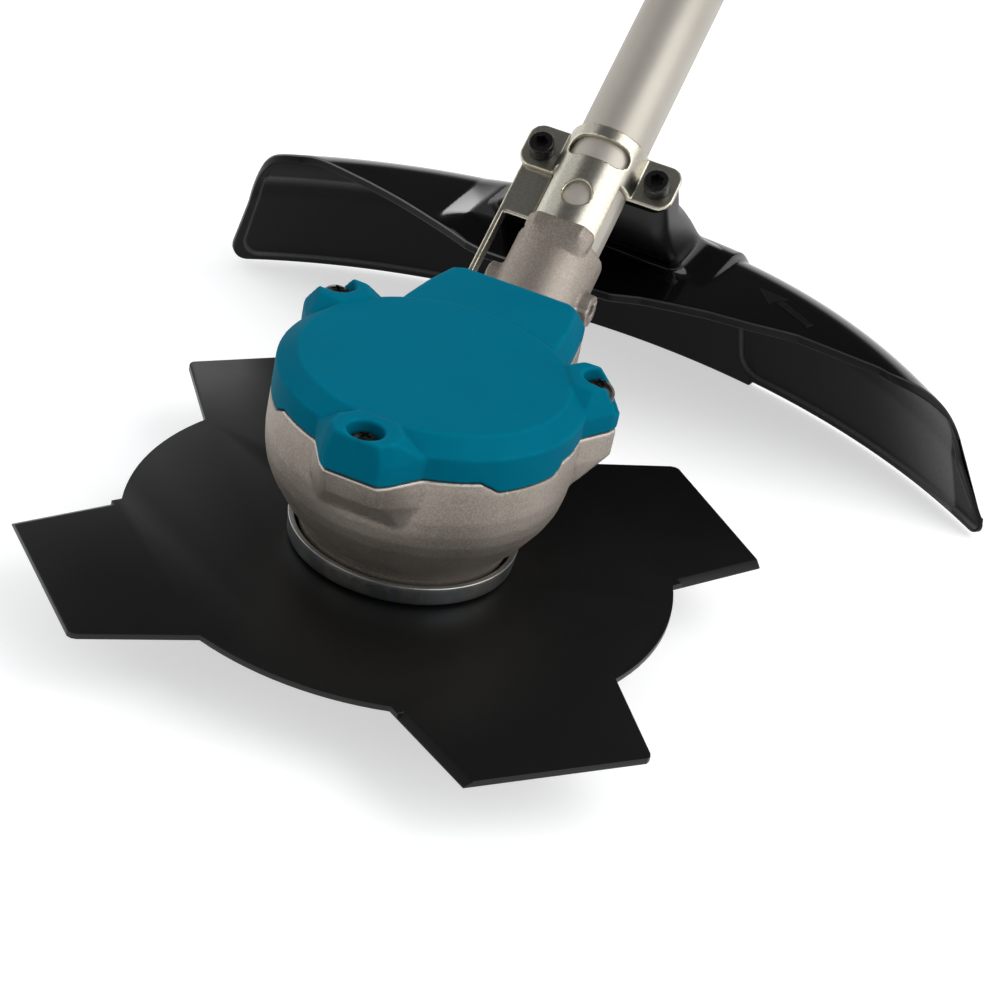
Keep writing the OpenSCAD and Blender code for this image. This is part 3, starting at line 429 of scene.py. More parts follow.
@dataclass(frozen=True)
class CastFinish(Finish):
    """Sand-cast light metal: pitted grain over slow waves, with a bright machined rim."""

    speckle_mm: float = 0.7
    speckle_span: Span = (0.38, 0.66)
    speckle_gain: float = 1.55
    speckle_share: float = 0.7
    wave_mm: float = 7.0
    wave_depth_mm: float = 0.12
    rim_low_mm: Span = (73.55, 73.95)
    rim_high_mm: Span = (74.8, 74.9)
    rim_tone: Colour = (0.62, 0.58, 0.53)
    rim_share: float = 0.75

    def tones(self, graph: Graph) -> Value:
        """The cast tones, speckled by the sand, and the bright line along the machined rim.

        Args:
            graph: The material's graph.

        Returns:
            The colour.
        """
        speckle = graph.stepped(graph.noise(self.speckle_mm, 3.0), *self.speckle_span)
        lighter = tuple(min(1.0, self.speckle_gain * part) for part in self.drift_tone)
        colour = graph.mix(speckle * self.speckle_share, Finish.tones(self, graph), lighter)
        rim, above = (graph.stepped(graph.height(), low * MM, high * MM)
                      for low, high in (self.rim_low_mm, self.rim_high_mm))
        return graph.mix(rim * (1 - above) * self.rim_share, colour, self.rim_tone)

    def relief(self, graph: Graph) -> Value:
        """Sand grain over slow casting waves."""
        waves = graph.bump(graph.noise(self.wave_mm, 2.0), self.wave_depth_mm)
        return graph.bump(graph.noise(self.grain_mm, 5.0), self.grain_depth_mm, waves)


@dataclass(frozen=True)
class DrawnFinish(Finish):
    """Metal with fine lines along the pipe, as on a drawn tube or rolled sheet."""

    line_mm: float = 0.35
    line_stretch: Point = (1.0, 1.0, 0.02)
    line_share: float = 0.6

    def lines(self, graph: Graph, detail: float) -> Value:
        """The drawing lines."""
        return graph.noise(self.line_mm, detail, self.line_stretch, (PIPE.tilt(), 0, 0))

    def gloss(self, graph: Graph) -> Value:
        """The roughness, with the drawing lines in it.

        Args:
            graph: The material's graph.

        Returns:
            The roughness.
        """
        drift = graph.noise(self.drift_mm / 3, 4.0)
        share = self.line_share
        return spread(self.roughness, share * self.lines(graph, 3.0) + (1 - share) * drift)

    def relief(self, graph: Graph) -> Value:
        """The normal, from the drawing lines."""
        return graph.bump(self.lines(graph, 2.0), self.grain_depth_mm)


@dataclass(frozen=True)
class RubbedZinc(Finish):
    """Zinc plating on an upright wall, with bluish smears that run up it."""

    smear_tone: Colour = (0.32, 0.38, 0.43)
    smear_mm: float = 1.3
    smear_stretch: Point = (1, 1, 0.12)
    smear_span: Span = (0.42, 0.62)
    smear_share: float = 0.85
    patch_mm: float = 14.0
    patch_span: Span = (0.4, 0.6)

    def tones(self, graph: Graph) -> Value:
        """The zinc, smeared by handling.

        Args:
            graph: The material's graph.

        Returns:
            The colour.
        """
        smears = graph.stepped(graph.noise(self.smear_mm, 4.0, self.smear_stretch), *self.smear_span)
        patches = graph.stepped(graph.noise(self.patch_mm, 2.0), *self.patch_span)
        return graph.mix(smears * patches * self.smear_share, Finish.tones(self, graph), self.smear_tone)


@dataclass(frozen=True)
class GuardFinish(Finish):
    """Moulded black: glossy outside, duller on the inner face that the grass scours."""

    peel_mm: float = 6.0
    peel_depth_mm: float = 0.008
    inner_tone: Colour = (0.005, 0.005, 0.005)
    inner_gain: float = 1.6
    inner_roughness: Span = (0.3, 0.44)
    inner_specular: float = 0.14
    # Light grey of the painted highlight lines, laid where the mesh is marked as rim.
    rim_tone: Colour = (0.26, 0.26, 0.26)
    highlight_span: Span = (0.6, 1.4)

    def relief(self, graph: Graph) -> Value:
        """A faint orange peel."""
        return graph.bump(graph.noise(self.peel_mm, 1.0), self.peel_depth_mm)

    def surface(self, graph: Graph) -> Value:
        """The glossy skin, and the scoured one where the mesh is marked as inner.

        Args:
            graph: The material's graph.

        Returns:
            The shader's output.
        """
        scoured = graph.noise(self.grain_mm, 4.0)
        tone = graph.mix(scoured, self.inner_tone, tuple(self.inner_gain * part for part in self.inner_tone))
        # Painted highlight: the tone is lifted towards the rim tone where the mesh is marked as rim, broken
        # up by the grain.
        tone = graph.mix(graph.attribute("rim") * spread(self.highlight_span, scoured), tone, self.rim_tone)
        dull = graph.principled(tone, spread(self.inner_roughness, scoured),
                                graph.bump(scoured, self.grain_depth_mm), 0.0, self.inner_specular)
        return graph.blend(graph.attribute("inner"), Finish.surface(self, graph), dull)


@dataclass(frozen=True)
class LaminatedSteel(Finish):
    """A stack of thin sheets, seen as bands across its height."""

    sheet_mm: float = 0.5

    def relief(self, graph: Graph) -> Value:
        """The bands between the sheets."""
        bands = graph.math("SINE", graph.height() * (2 * math.pi / (self.sheet_mm * MM)), 0.0)
        return graph.bump(bands, self.grain_depth_mm)


class Finishes:
    """Every finish of the object, by the name of its slot in the packed record."""

    blade = Finish("blade_black", srgb(8, 8, 8), srgb(6, 6, 6), 0.0, (0.37, 0.46), 40, 0.7, 0.004,
                   edge_tone=srgb(70, 70, 70), specular=0.34)
    zinc = DrawnFinish("zinc", srgb(194, 190, 178), srgb(178, 174, 162), 1.0, (0.22, 0.4), 0.9, 0.5, 0.008,
                       edge_tone=srgb(226, 219, 196))
    rubbed_zinc = RubbedZinc("zinc_dull", srgb(172, 171, 167), srgb(146, 145, 141), 1.0, (0.3, 0.46), 12,
                             edge_tone=srgb(220, 224, 226))
    steel = Finish("steel", srgb(196, 196, 198), srgb(182, 182, 185), 1.0, (0.18, 0.3))
    dark_steel = Finish("dark_steel", srgb(62, 62, 65), srgb(52, 52, 55), 0.8, (0.35, 0.5))
    # The darker hollow tone here is painted shade in the hollows of the housing.
    cast = CastFinish("cast_aluminium", srgb(158, 149, 140), srgb(142, 133, 124), 0.8, (0.44, 0.58), 22,
                      0.42, 0.1, hollow_shade_tone=srgb(92, 80, 70))
    # The darker hollow tone here is painted shade in the hollows of the cover.
    teal = Finish("cover_teal", srgb(0, 104, 128), srgb(0, 101, 125), 0.0, (0.46, 0.56), 30, 0.35, 0.012,
                  edge_tone=srgb(0, 112, 136), hollow_shade_tone=srgb(0, 88, 110), specular=0.01)
    guard = GuardFinish("guard_black", srgb(7, 7, 7), srgb(5, 5, 5), 0.0, (0.1, 0.16), 40, 0.6, 0.02,
                        specular=0.45)
    pipe = DrawnFinish("pipe_aluminium", srgb(190, 184, 174), srgb(183, 177, 167), 0.55, (0.42, 0.52), 30,
                       0.5, 0.003)
    screw = Finish("black_screw", srgb(24, 24, 24), srgb(18, 18, 18), 0.3, (0.2, 0.34), 3, 0.4, 0.006,
                   edge_tone=srgb(60, 60, 60))
    rubber = Finish("rubber_black", srgb(30, 30, 30), srgb(26, 26, 26), 0.0, (0.6, 0.75),
                    grain_depth_mm=0.03)
    copper = Finish("copper", srgb(184, 104, 58), srgb(160, 82, 44), 0.9, (0.25, 0.38), 6, 0.4, 0.004)
    lamination = LaminatedSteel("stator_steel", srgb(142, 142, 146), srgb(126, 126, 130), 0.9, (0.35, 0.5))
    insulator = Finish("insulator", srgb(220, 214, 196), srgb(210, 202, 182), 0.0, (0.45, 0.6))
    board = Finish("board_green", srgb(28, 92, 52), srgb(22, 80, 46), 0.0, (0.3, 0.45), 5)
    brass = Finish("brass", srgb(206, 170, 96), srgb(190, 152, 80), 1.0, (0.2, 0.32), 4)
    plastic = Finish("black_plastic", srgb(32, 32, 33), srgb(27, 27, 28), 0.0, (0.45, 0.6))


# Mesh tools


MERGE_MM = 0.002
DEGENERATE_MM = 0.001
FLAT_DEG = 0.5
BEVEL_FROM_DEG = 28
SHARP_DEG = 32
CURVE_GAIN = 5
CURVE_FLOOR = 0.15
CURVE_ROUNDS = 2


def linked(name: str, data: bpy.types.ID) -> Piece:
    """A new object of the scene, at the origin.

    Args:
        name: Name of the object.
        data: Its mesh, camera or light.

    Returns:
        The object.
    """
    made = bpy.data.objects.new(name, data)
    bpy.context.scene.collection.objects.link(made)
    return made


def new_object(name: str, points: Sequence, faces: Sequence, edges: Sequence = ()) -> Piece:
    """A mesh object at the origin, from points in metres.

    Args:
        name: Name of the object and its mesh.
        points: Places of the points.
        faces: Point numbers of each face.
        edges: Point numbers of each loose edge.

    Returns:
        The object.
    """
    mesh = bpy.data.meshes.new(name)
    mesh.from_pydata([tuple(p) for p in points], [tuple(e) for e in edges], [tuple(f) for f in faces])
    mesh.update()
    return linked(name, mesh)


def numbers(rows: bpy.types.bpy_prop_collection, field: str, width: int, kind: type = float) -> np.ndarray:
    """One field of every row of a mesh's list, as a table.

    Args:
        rows: The list, such as a mesh's vertices.
        field: Name of the field.
        width: Numbers in a row.
        kind: Type of the numbers.

    Returns:
        The table, with a row for each one of the list.
    """
    made = np.empty(len(rows) * width, dtype=kind)
    rows.foreach_get(field, made)
    return made.reshape(-1, width)


def write_marks(piece: Piece, marks: dict[str, Sequence[float]]) -> None:
    """Writes numbers to a piece's points, under the names that its finish reads.

    Args:
        piece: The piece.
        marks: One number for each point, by name.
    """
    for name, values in marks.items():
        layer = piece.data.attributes.new(name, "FLOAT", "POINT")
        layer.data.foreach_set("value", np.asarray(values, dtype=np.float32))


@contextmanager
def editing(piece: Piece) -> Iterator[bmesh.types.BMesh]:
    """Opens a piece's mesh for edits and writes them back.

    Args:
        piece: The piece.

    Returns:
        The open mesh, for a with statement.
    """
    mesh = bmesh.new()
    mesh.from_mesh(piece.data)
    yield mesh
    mesh.to_mesh(piece.data)
    mesh.free()


def shaded(piece: Piece, sharp_deg: float | None = None) -> Piece:
    """Shades a piece smooth, apart from edges that turn by more than an angle if one is given.

    Args:
        piece: The piece.
        sharp_deg: The angle, or None for no sharp edges.

    Returns:
        The piece.
    """
    piece.data.shade_smooth()
    if sharp_deg is not None:
        piece.data.set_sharp_from_angle(angle=math.radians(sharp_deg))
    return piece


def bake_modifiers(piece: Piece) -> Piece:
    """Replaces a piece's mesh by what its modifiers make of it.

    Args:
        piece: The piece.

    Returns:
        The piece.
    """
    depsgraph = bpy.context.evaluated_depsgraph_get()
    mesh = bpy.data.meshes.new_from_object(piece.evaluated_get(depsgraph), depsgraph=depsgraph)
    piece.modifiers.clear()
    old = piece.data
    piece.data = mesh
    bpy.data.meshes.remove(old)
    mesh.name = piece.name
    return piece


def modified(piece: Piece, *steps: tuple[str, dict]) -> Piece:
    """Runs modifiers on a piece and keeps the result as its mesh.

    Args:
        piece: The piece.
        steps: The kind and the settings of each modifier, in order.

    Returns:
        The piece.
    """
    for kind, settings in steps:
        modifier = piece.modifiers.new(kind.lower(), kind)
        for key, setting in settings.items():
            setattr(modifier, key, setting)
    return bake_modifiers(piece)


def merged_copy(node: str, name: str, flat_deg: float = 0.0) -> Piece:
    """A copy of a packed node with its loose triangles joined.

    Args:
        node: The packed node.
        name: Name of the copy.
        flat_deg: Faces that meet at less than this angle are made one face.

    Returns:
        The copy.
    """
    packed = frame["nodes"][node].data
    packed.calc_loop_triangles()
    copy = new_object(name, numbers(packed.vertices, "co", 3),
                      numbers(packed.loop_triangles, "vertices", 3, np.int32))
    with editing(copy) as mesh:
        bmesh.ops.remove_doubles(mesh, verts=mesh.verts, dist=MERGE_MM * MM)
        bmesh.ops.dissolve_degenerate(mesh, edges=mesh.edges, dist=DEGENERATE_MM * MM)
        if flat_deg:
            bmesh.ops.dissolve_limit(mesh, angle_limit=math.radians(flat_deg), verts=mesh.verts,
                                     edges=mesh.edges)
    return copy


def join(target: Piece, others: Iterable[Piece]) -> Piece:
    """Puts the meshes of other objects into one object and removes the others.

    Args:
        target: The object that stays.
        others: The objects to put into it.

    Returns:
        The target.
    """
    with editing(target) as mesh:
        for other in others:
            mesh.from_mesh(other.data)
            bpy.data.objects.remove(other)
    return target


def outward(piece: Piece) -> Piece:
    """Turns the faces of a closed mesh outwards.

    Args:
        piece: The piece.

    Returns:
        The piece.
    """
    with editing(piece) as mesh:
        bmesh.ops.recalc_face_normals(mesh, faces=mesh.faces)
    return piece


def melted(piece: Piece, chosen: Callable[[Vector], bool], rounds: int) -> Piece:
    """Smooths the points of a piece that are chosen by their place in millimetres.

    Args:
        piece: The piece.
        chosen: Says whether the point at a place is smoothed.
        rounds: How often.

    Returns:
        The piece.
    """
    with editing(piece) as mesh:
        points = [v for v in mesh.verts if chosen(v.co / MM)]
        for _ in range(rounds):
            bmesh.ops.smooth_vert(mesh, verts=points, factor=0.5, use_axis_x=True, use_axis_y=True,
                                  use_axis_z=True)
    return piece


def mark_curvature(piece: Piece, cell_mm: float) -> None:
    """Writes to each point how far it lies on an outer edge or in a hollow, each from 0 to 1.

    Args:
        piece: A piece with a skin of even cells.
        cell_mm: Size of the cells.
    """
    mesh = piece.data
    points = numbers(mesh.vertices, "co", 3)
    normals = numbers(mesh.vertex_normals, "vector", 3)
    first, second = numbers(mesh.edges, "vertices", 2, np.int32).T
    step = points[second] - points[first]
    bend = ((normals[second] - normals[first]) * step).sum(1) / np.maximum((step * step).sum(1), 1e-12)
    curve, share = np.zeros((2, len(points)))
    for end in (first, second):
        np.add.at(curve, end, bend)
        np.add.at(share, end, 1)
    share = np.maximum(share, 1)
    curve = curve / share * cell_mm * MM
    for _ in range(CURVE_ROUNDS):
        near = np.zeros(len(points))
        np.add.at(near, first, curve[second])
        np.add.at(near, second, curve[first])
        curve = 0.5 * curve + 0.5 * near / share
    # The hollow mark drives the painted shade in the finishes.
    write_marks(piece, {name: np.clip(sign * curve * CURVE_GAIN - CURVE_FLOOR, 0, 1)
                        for name, sign in (("edge", 1), ("hollow", -1))})


def softened(piece: Piece, cell_mm: float, rounds: int) -> Piece:
    """Unites a piece's closed shells into one skin and rounds its edges, as casting and moulding do.

    Args:
        piece: One or more closed shells, which may overlap.
        cell_mm: Size of the cells that the new skin is made from.
        rounds: How often the skin is smoothed; more rounds give larger fillets.

    Returns:
        The piece.
    """
    shaded(modified(piece, ("REMESH", {"mode": "VOXEL", "voxel_size": cell_mm * MM}),
                    ("SMOOTH", {"factor": 0.5, "iterations": rounds})))
    mark_curvature(piece, cell_mm)
    return piece


def bevelled(node: str, width_mm: float, segments: int = 2) -> Piece:
    """A copy of a packed node whose sharp edges are broken with small rounded bevels.

    Args:
        node: The packed node.
        width_mm: Width of the bevels.
        segments: Faces across a bevel.

    Returns:
        The copy.
    """
    piece = modified(merged_copy(node, f"{node}_finished", FLAT_DEG), ("BEVEL", {
        "width": width_mm * MM, "segments": segments, "limit_method": "ANGLE",
        "angle_limit": math.radians(BEVEL_FROM_DEG), "use_clamp_overlap": True}))
    return shaded(piece, SHARP_DEG)


def cut(piece: Piece, tools: Sequence[Piece]) -> Piece:
    """Cuts closed tools out of a piece and removes them.

    Args:
        piece: The piece.
        tools: The closed meshes to cut away.

    Returns:
        The piece.
    """
    modified(piece, *(("BOOLEAN", {"operation": "DIFFERENCE", "solver": "EXACT", "object": tool})
                      for tool in tools))
    for tool in tools:
        bpy.data.objects.remove(tool)
    return piece


def thinned(piece: Piece, share: float) -> Piece:
    """Keeps a share of a piece's faces, most of them along its edges."""
    return shaded(modified(piece, ("DECIMATE", {"ratio": share})))


def loft(name: str, rings: Sequence[Sequence[Vector]]) -> Piece:
    """A closed skin over rings of equal length, with flat ends.

    Args:
        name: Name of the object.
        rings: Points of each ring, in metres.

    Returns:
        The closed mesh.
    """
    count = len(rings[0])
    points = [p for ring in rings for p in ring]
    faces = [list(range(count))[::-1], list(range(len(points) - count, len(points)))]
    for low in range(0, len(points) - count, count):
        for k in range(count):
            after = (k + 1) % count
            faces.append([low + k, low + after, low + count + after, low + count + k])
    return outward(new_object(name, points, faces))


def lathe(name: str, profile: Sequence[tuple[float, float]], segments: int) -> Piece:
    """A piece turned about the upright axis.

    Args:
        name: Name of the object.
        profile: Radius and height of each point in millimetres, starting and ending on the axis.
        segments: Faces around.

    Returns:
        The closed mesh.
    """
    rings = [[upright(*polar(r, 2 * math.pi * k / segments), z) for k in range(segments)]
             for r, z in profile[1:-1]]
    points = [p for ring in rings for p in ring] + [upright(0, 0, profile[k][1]) for k in (0, -1)]
    low, high = len(points) - 2, len(points) - 1
    last = (len(rings) - 1) * segments
    faces = []
    for k in range(segments):
        after = (k + 1) % segments
        faces.append([low, after, k])
        faces.append([high, last + k, last + after])
        for base in range(0, last, segments):
            faces.append([base + k, base + after, base + segments + after, base + segments + k])
    return shaded(outward(new_object(name, points, faces)), SHARP_DEG)


def dress(piece: Piece, finish: Finish, body: Body, node: str) -> None:
    """Gives a finished piece its material, its body and the packed node that it stands for.

    Args:
        piece: The finished mesh, in place.
        finish: The finish of its surface.
        body: The body that it moves with.
        node: The packed node that it replaces.
    """
    piece.data.materials.clear()
    piece.data.materials.append(finish.material())
    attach(piece, body.value)
    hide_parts(node)
    LOG.info("%s: %d faces, %s on %s", piece.name, len(piece.data.polygons), finish.slot, body.value)


# Geometry Nodes


class NodeGroup(Tree):
    """A geometry tree with named inputs, run on one object and turned into a plain mesh."""

    sharp_deg = 35

    def __init__(self, name: str, inputs: dict[str, str]) -> None:
        """Starts a tree with a geometry input and output, a finish and inputs of other kinds by name.

        Args:
            name: Name of the tree.
            inputs: Kind of each other input, by its name.
        """
        super().__init__(bpy.data.node_groups.new(name, "GeometryNodeTree"))
        for title, kind in {"Geometry": "Geometry", **inputs, "Finish": "Material"}.items():
            self.tree.interface.new_socket(title, in_out="INPUT", socket_type=f"NodeSocket{kind}")
        self.tree.interface.new_socket("Geometry", in_out="OUTPUT", socket_type="NodeSocketGeometry")
        self.given = self.node("NodeGroupInput").outputs

    def close(self, geometry: bpy.types.NodeSocket) -> None:
        """Ends the tree in Realize Instances and Set Material.

        Args:
            geometry: What the tree has made.
        """
        real = self.node("GeometryNodeRealizeInstances", None, {0: geometry})
        coloured = self.node("GeometryNodeSetMaterial", None,
                             {"Geometry": real.outputs[0], "Material": self.given["Finish"]})
        self.node("NodeGroupOutput", None, {0: coloured.outputs[0]})

    def run(self, piece: Piece, values: dict) -> Piece:
        """Runs the tree on an object with these input values and keeps the result as its mesh.

        Args:
            piece: The object.
            values: Values of the inputs, by name.

        Returns:
            The piece.
        """
        modifier = piece.modifiers.new(self.tree.name, "NODES")
        modifier.node_group = self.tree
        for item in self.tree.interface.items_tree:
            if item.in_out == "INPUT" and item.name in values:
                modifier[item.identifier] = values[item.name]
        return shaded(bake_modifiers(piece), self.sharp_deg)


class FastenerSet(NodeGroup):
    """Copies of one fastener at given points, each turned about its own axis by chance."""

    def __init__(self) -> None:
        """Builds the tree."""
        super().__init__("fastener_set", {"Fastener": "Object", "Tilt": "Rotation", "Seed": "Int"})
        shape = self.node("GeometryNodeObjectInfo", None, {"Object": self.given["Fastener"]})
        spin = self.node("FunctionNodeRandomValue", {"data_type": "FLOAT"},
                         {2: 0.0, 3: 2 * math.pi, "Seed": self.given["Seed"]})
        about = self.node("FunctionNodeAxisAngleToRotation", None,
                          {"Axis": (0, 0, 1), "Angle": spin.outputs[1]})
        tilted = self.node("FunctionNodeRotateRotation", {"rotation_space": "LOCAL"},
                           {"Rotation": self.given["Tilt"], "Rotate By": about.outputs[0]})
        placed = self.node("GeometryNodeInstanceOnPoints", None, {
            "Points": self.given["Geometry"], "Instance": shape.outputs["Geometry"],
            "Rotation": tilted.outputs[0]})
        self.close(placed.outputs[0])

    def make(self, name: str, shape: Piece, points: Sequence[Vector], tilt: Matrix, seed: int,
             finish: Finish) -> Piece:
        """One mesh with a copy of the fastener at every point.

        Args:
            name: Name of the piece.
            shape: The fastener, standing on the origin along +Z; it is removed.
            points: Places in the frame.
            tilt: Rotation of +Z to the fasteners' axis.
            seed: Seed of the turns about the axis.
            finish: The finish of the fasteners.

        Returns:
            The piece.
        """
        piece = self.run(new_object(name, points, []), {
            "Fastener": shape, "Tilt": tuple(tilt.to_euler()), "Seed": seed, "Finish": finish.material()})
        bpy.data.objects.remove(shape)
        return piece


class BeadPath(NodeGroup):
    """A round bead along a line of points, such as a moulded ridge."""

    def __init__(self) -> None:
        """Builds the tree."""
        super().__init__("bead_path", {"Radius": "Float", "Sides": "Int"})
        line = self.node("GeometryNodeMeshToCurve", None, {"Mesh": self.given["Geometry"]})
        ring = self.node("GeometryNodeCurvePrimitiveCircle", None, {
            "Resolution": self.given["Sides"], "Radius": self.given["Radius"]})
        tube = self.node("GeometryNodeCurveToMesh", None, {
            "Curve": line.outputs[0], "Profile Curve": ring.outputs[0], "Fill Caps": True})
        self.close(tube.outputs[0])

    def make(self, name: str, points: Sequence[Vector], radius_mm: float, sides: int,
             finish: Finish) -> Piece:
        """The bead along these points.

        Args:
            name: Name of the piece.
            points: Places in the frame.
            radius_mm: Radius of the bead.
            sides: Faces around.
            finish: The finish of the bead.

        Returns:
            The piece.
        """
        edges = [(k, k + 1) for k in range(len(points) - 1)]
        return outward(self.run(new_object(name, points, [], edges), {
            "Radius": radius_mm * MM, "Sides": sides, "Finish": finish.material()}))


# Sub-assemblies


@dataclass
class BladeStack:
    """The blade and the washers, cup and nut that hold it on the spindle."""

    edge_mm: float = 0.22
    washer_edge_mm: float = 0.5
    cup_edge_mm: float = 0.8
    edge_segments: int = 3

    def build(self) -> None:
        """Makes and dresses the pieces of the stack."""
        for node, finish, width in (
            ("blade", Finishes.blade, self.edge_mm),
            ("receiver_washer", Finishes.rubbed_zinc, self.washer_edge_mm),
            ("clamp_washer", Finishes.rubbed_zinc, self.washer_edge_mm),
            ("glide_cup", Finishes.steel, self.cup_edge_mm),
            ("blade_nut", Finishes.dark_steel, self.washer_edge_mm),
        ):
            dress(bevelled(node, width, self.edge_segments), finish, Body.ROTOR, node)


@dataclass
class MotorCase:
    """The cast housing and the moulded cover that close round the motor.

    The front lug of the housing is drawn in towards the plain bowl, which is measured beside it, and
    its lower part is smoothed. Each notch opens the recess of a side screw: the angle of the screw on
    its circle, and the way that the notch opens, both in degrees.
    """

    housing_cell_mm: float = 0.6
    housing_rounds: int = 2
    housing_kept: float = 0.48
    bowl_deg: Span = (318.0, 338.0)
    lug_y: float = -20.0
    lug_half_x: float = 40.0
    lug_low_z: float = 40.0
    lug_shares: Table = ((54.0, 0.1), (62.0, 0.48), (74.5, 1.0))
    melt_z: Span = (42.0, 69.0)
    melt_rounds: int = 4
    cover_cell_mm: float = 0.56
    cover_rounds: int = 4
    screw_circle_r: float = 49.4
    notches: tuple[Span, ...] = ((30.0, 8.0), (150.0, 160.0))
    notch_half: float = 5.9
    notch_len: float = 24.0
    notch_z: Span = (80.2, 92.2)

    def on_lug(self, place: Vector) -> bool:
        """Whether a point lies on the lower part of the front lug, which melts into the bowl."""
        low, high = self.melt_z
        return place.y < self.lug_y and low < place.z < high and abs(place.x) < self.lug_half_x

    def slimmed(self, housing: Piece) -> Piece:
        """Draws the front lug in towards the plain bowl, more so lower down.

        Args:
            housing: The softened housing.

        Returns:
            The same object, with the points of its front lug moved.
        """
        bowl: dict[int, float] = {}
        points = housing.data.vertices
        low, high = self.bowl_deg
        for v in points:
            if low < math.degrees(math.atan2(v.co.y, v.co.x)) % 360 < high:
                level = round(v.co.z / MM)
                bowl[level] = max(bowl.get(level, 0.0), v.co.xy.length)
        radii = sorted(bowl.items())
        for v in points:
            if v.co.y > self.lug_y * MM or abs(v.co.x) > self.lug_half_x * MM:
                continue
            z = v.co.z / MM
            plain = between(z, radii)
            over = v.co.xy.length - plain
            if over > 0 and self.lug_low_z < z < self.lug_shares[-1][0]:
                v.co.xy *= (plain + over * between(z, self.lug_shares)) / (plain + over)
        return housing

    def notch(self, screw_deg: float, way_deg: float) -> Piece:
        """A slot that opens a screw recess to the outside.

        Args:
            screw_deg: Where the screw stands on its circle.
            way_deg: The way that the slot opens.

        Returns:
            The solid to cut away.
        """
        x, y = polar(self.screw_circle_r, math.radians(screw_deg))
        cos, sin = polar(1.0, math.radians(way_deg))
        half, far = self.notch_half, self.notch_len
        corners = ((0, -half), (far, -half), (far, half), (0, half))
        return loft("notch", [[upright(x + r * cos - t * sin, y + r * sin + t * cos, z) for r, t in corners]
                              for z in self.notch_z])

    def build(self) -> None:
        """Makes and dresses the two shells."""
        housing = softened(merged_copy("motor_housing", "cast_housing"), self.housing_cell_mm,
                           self.housing_rounds)
        housing = thinned(melted(self.slimmed(housing), self.on_lug, self.melt_rounds), self.housing_kept)
        dress(housing, Finishes.cast, Body.HEAD, "motor_housing")
        cover = merged_copy("motor_cover", "moulded_cover")
        cut(cover, [self.notch(*pair) for pair in self.notches])
        softened(cover, self.cover_cell_mm, self.cover_rounds)
        dress(cover, Finishes.teal, Body.HEAD, "motor_cover")


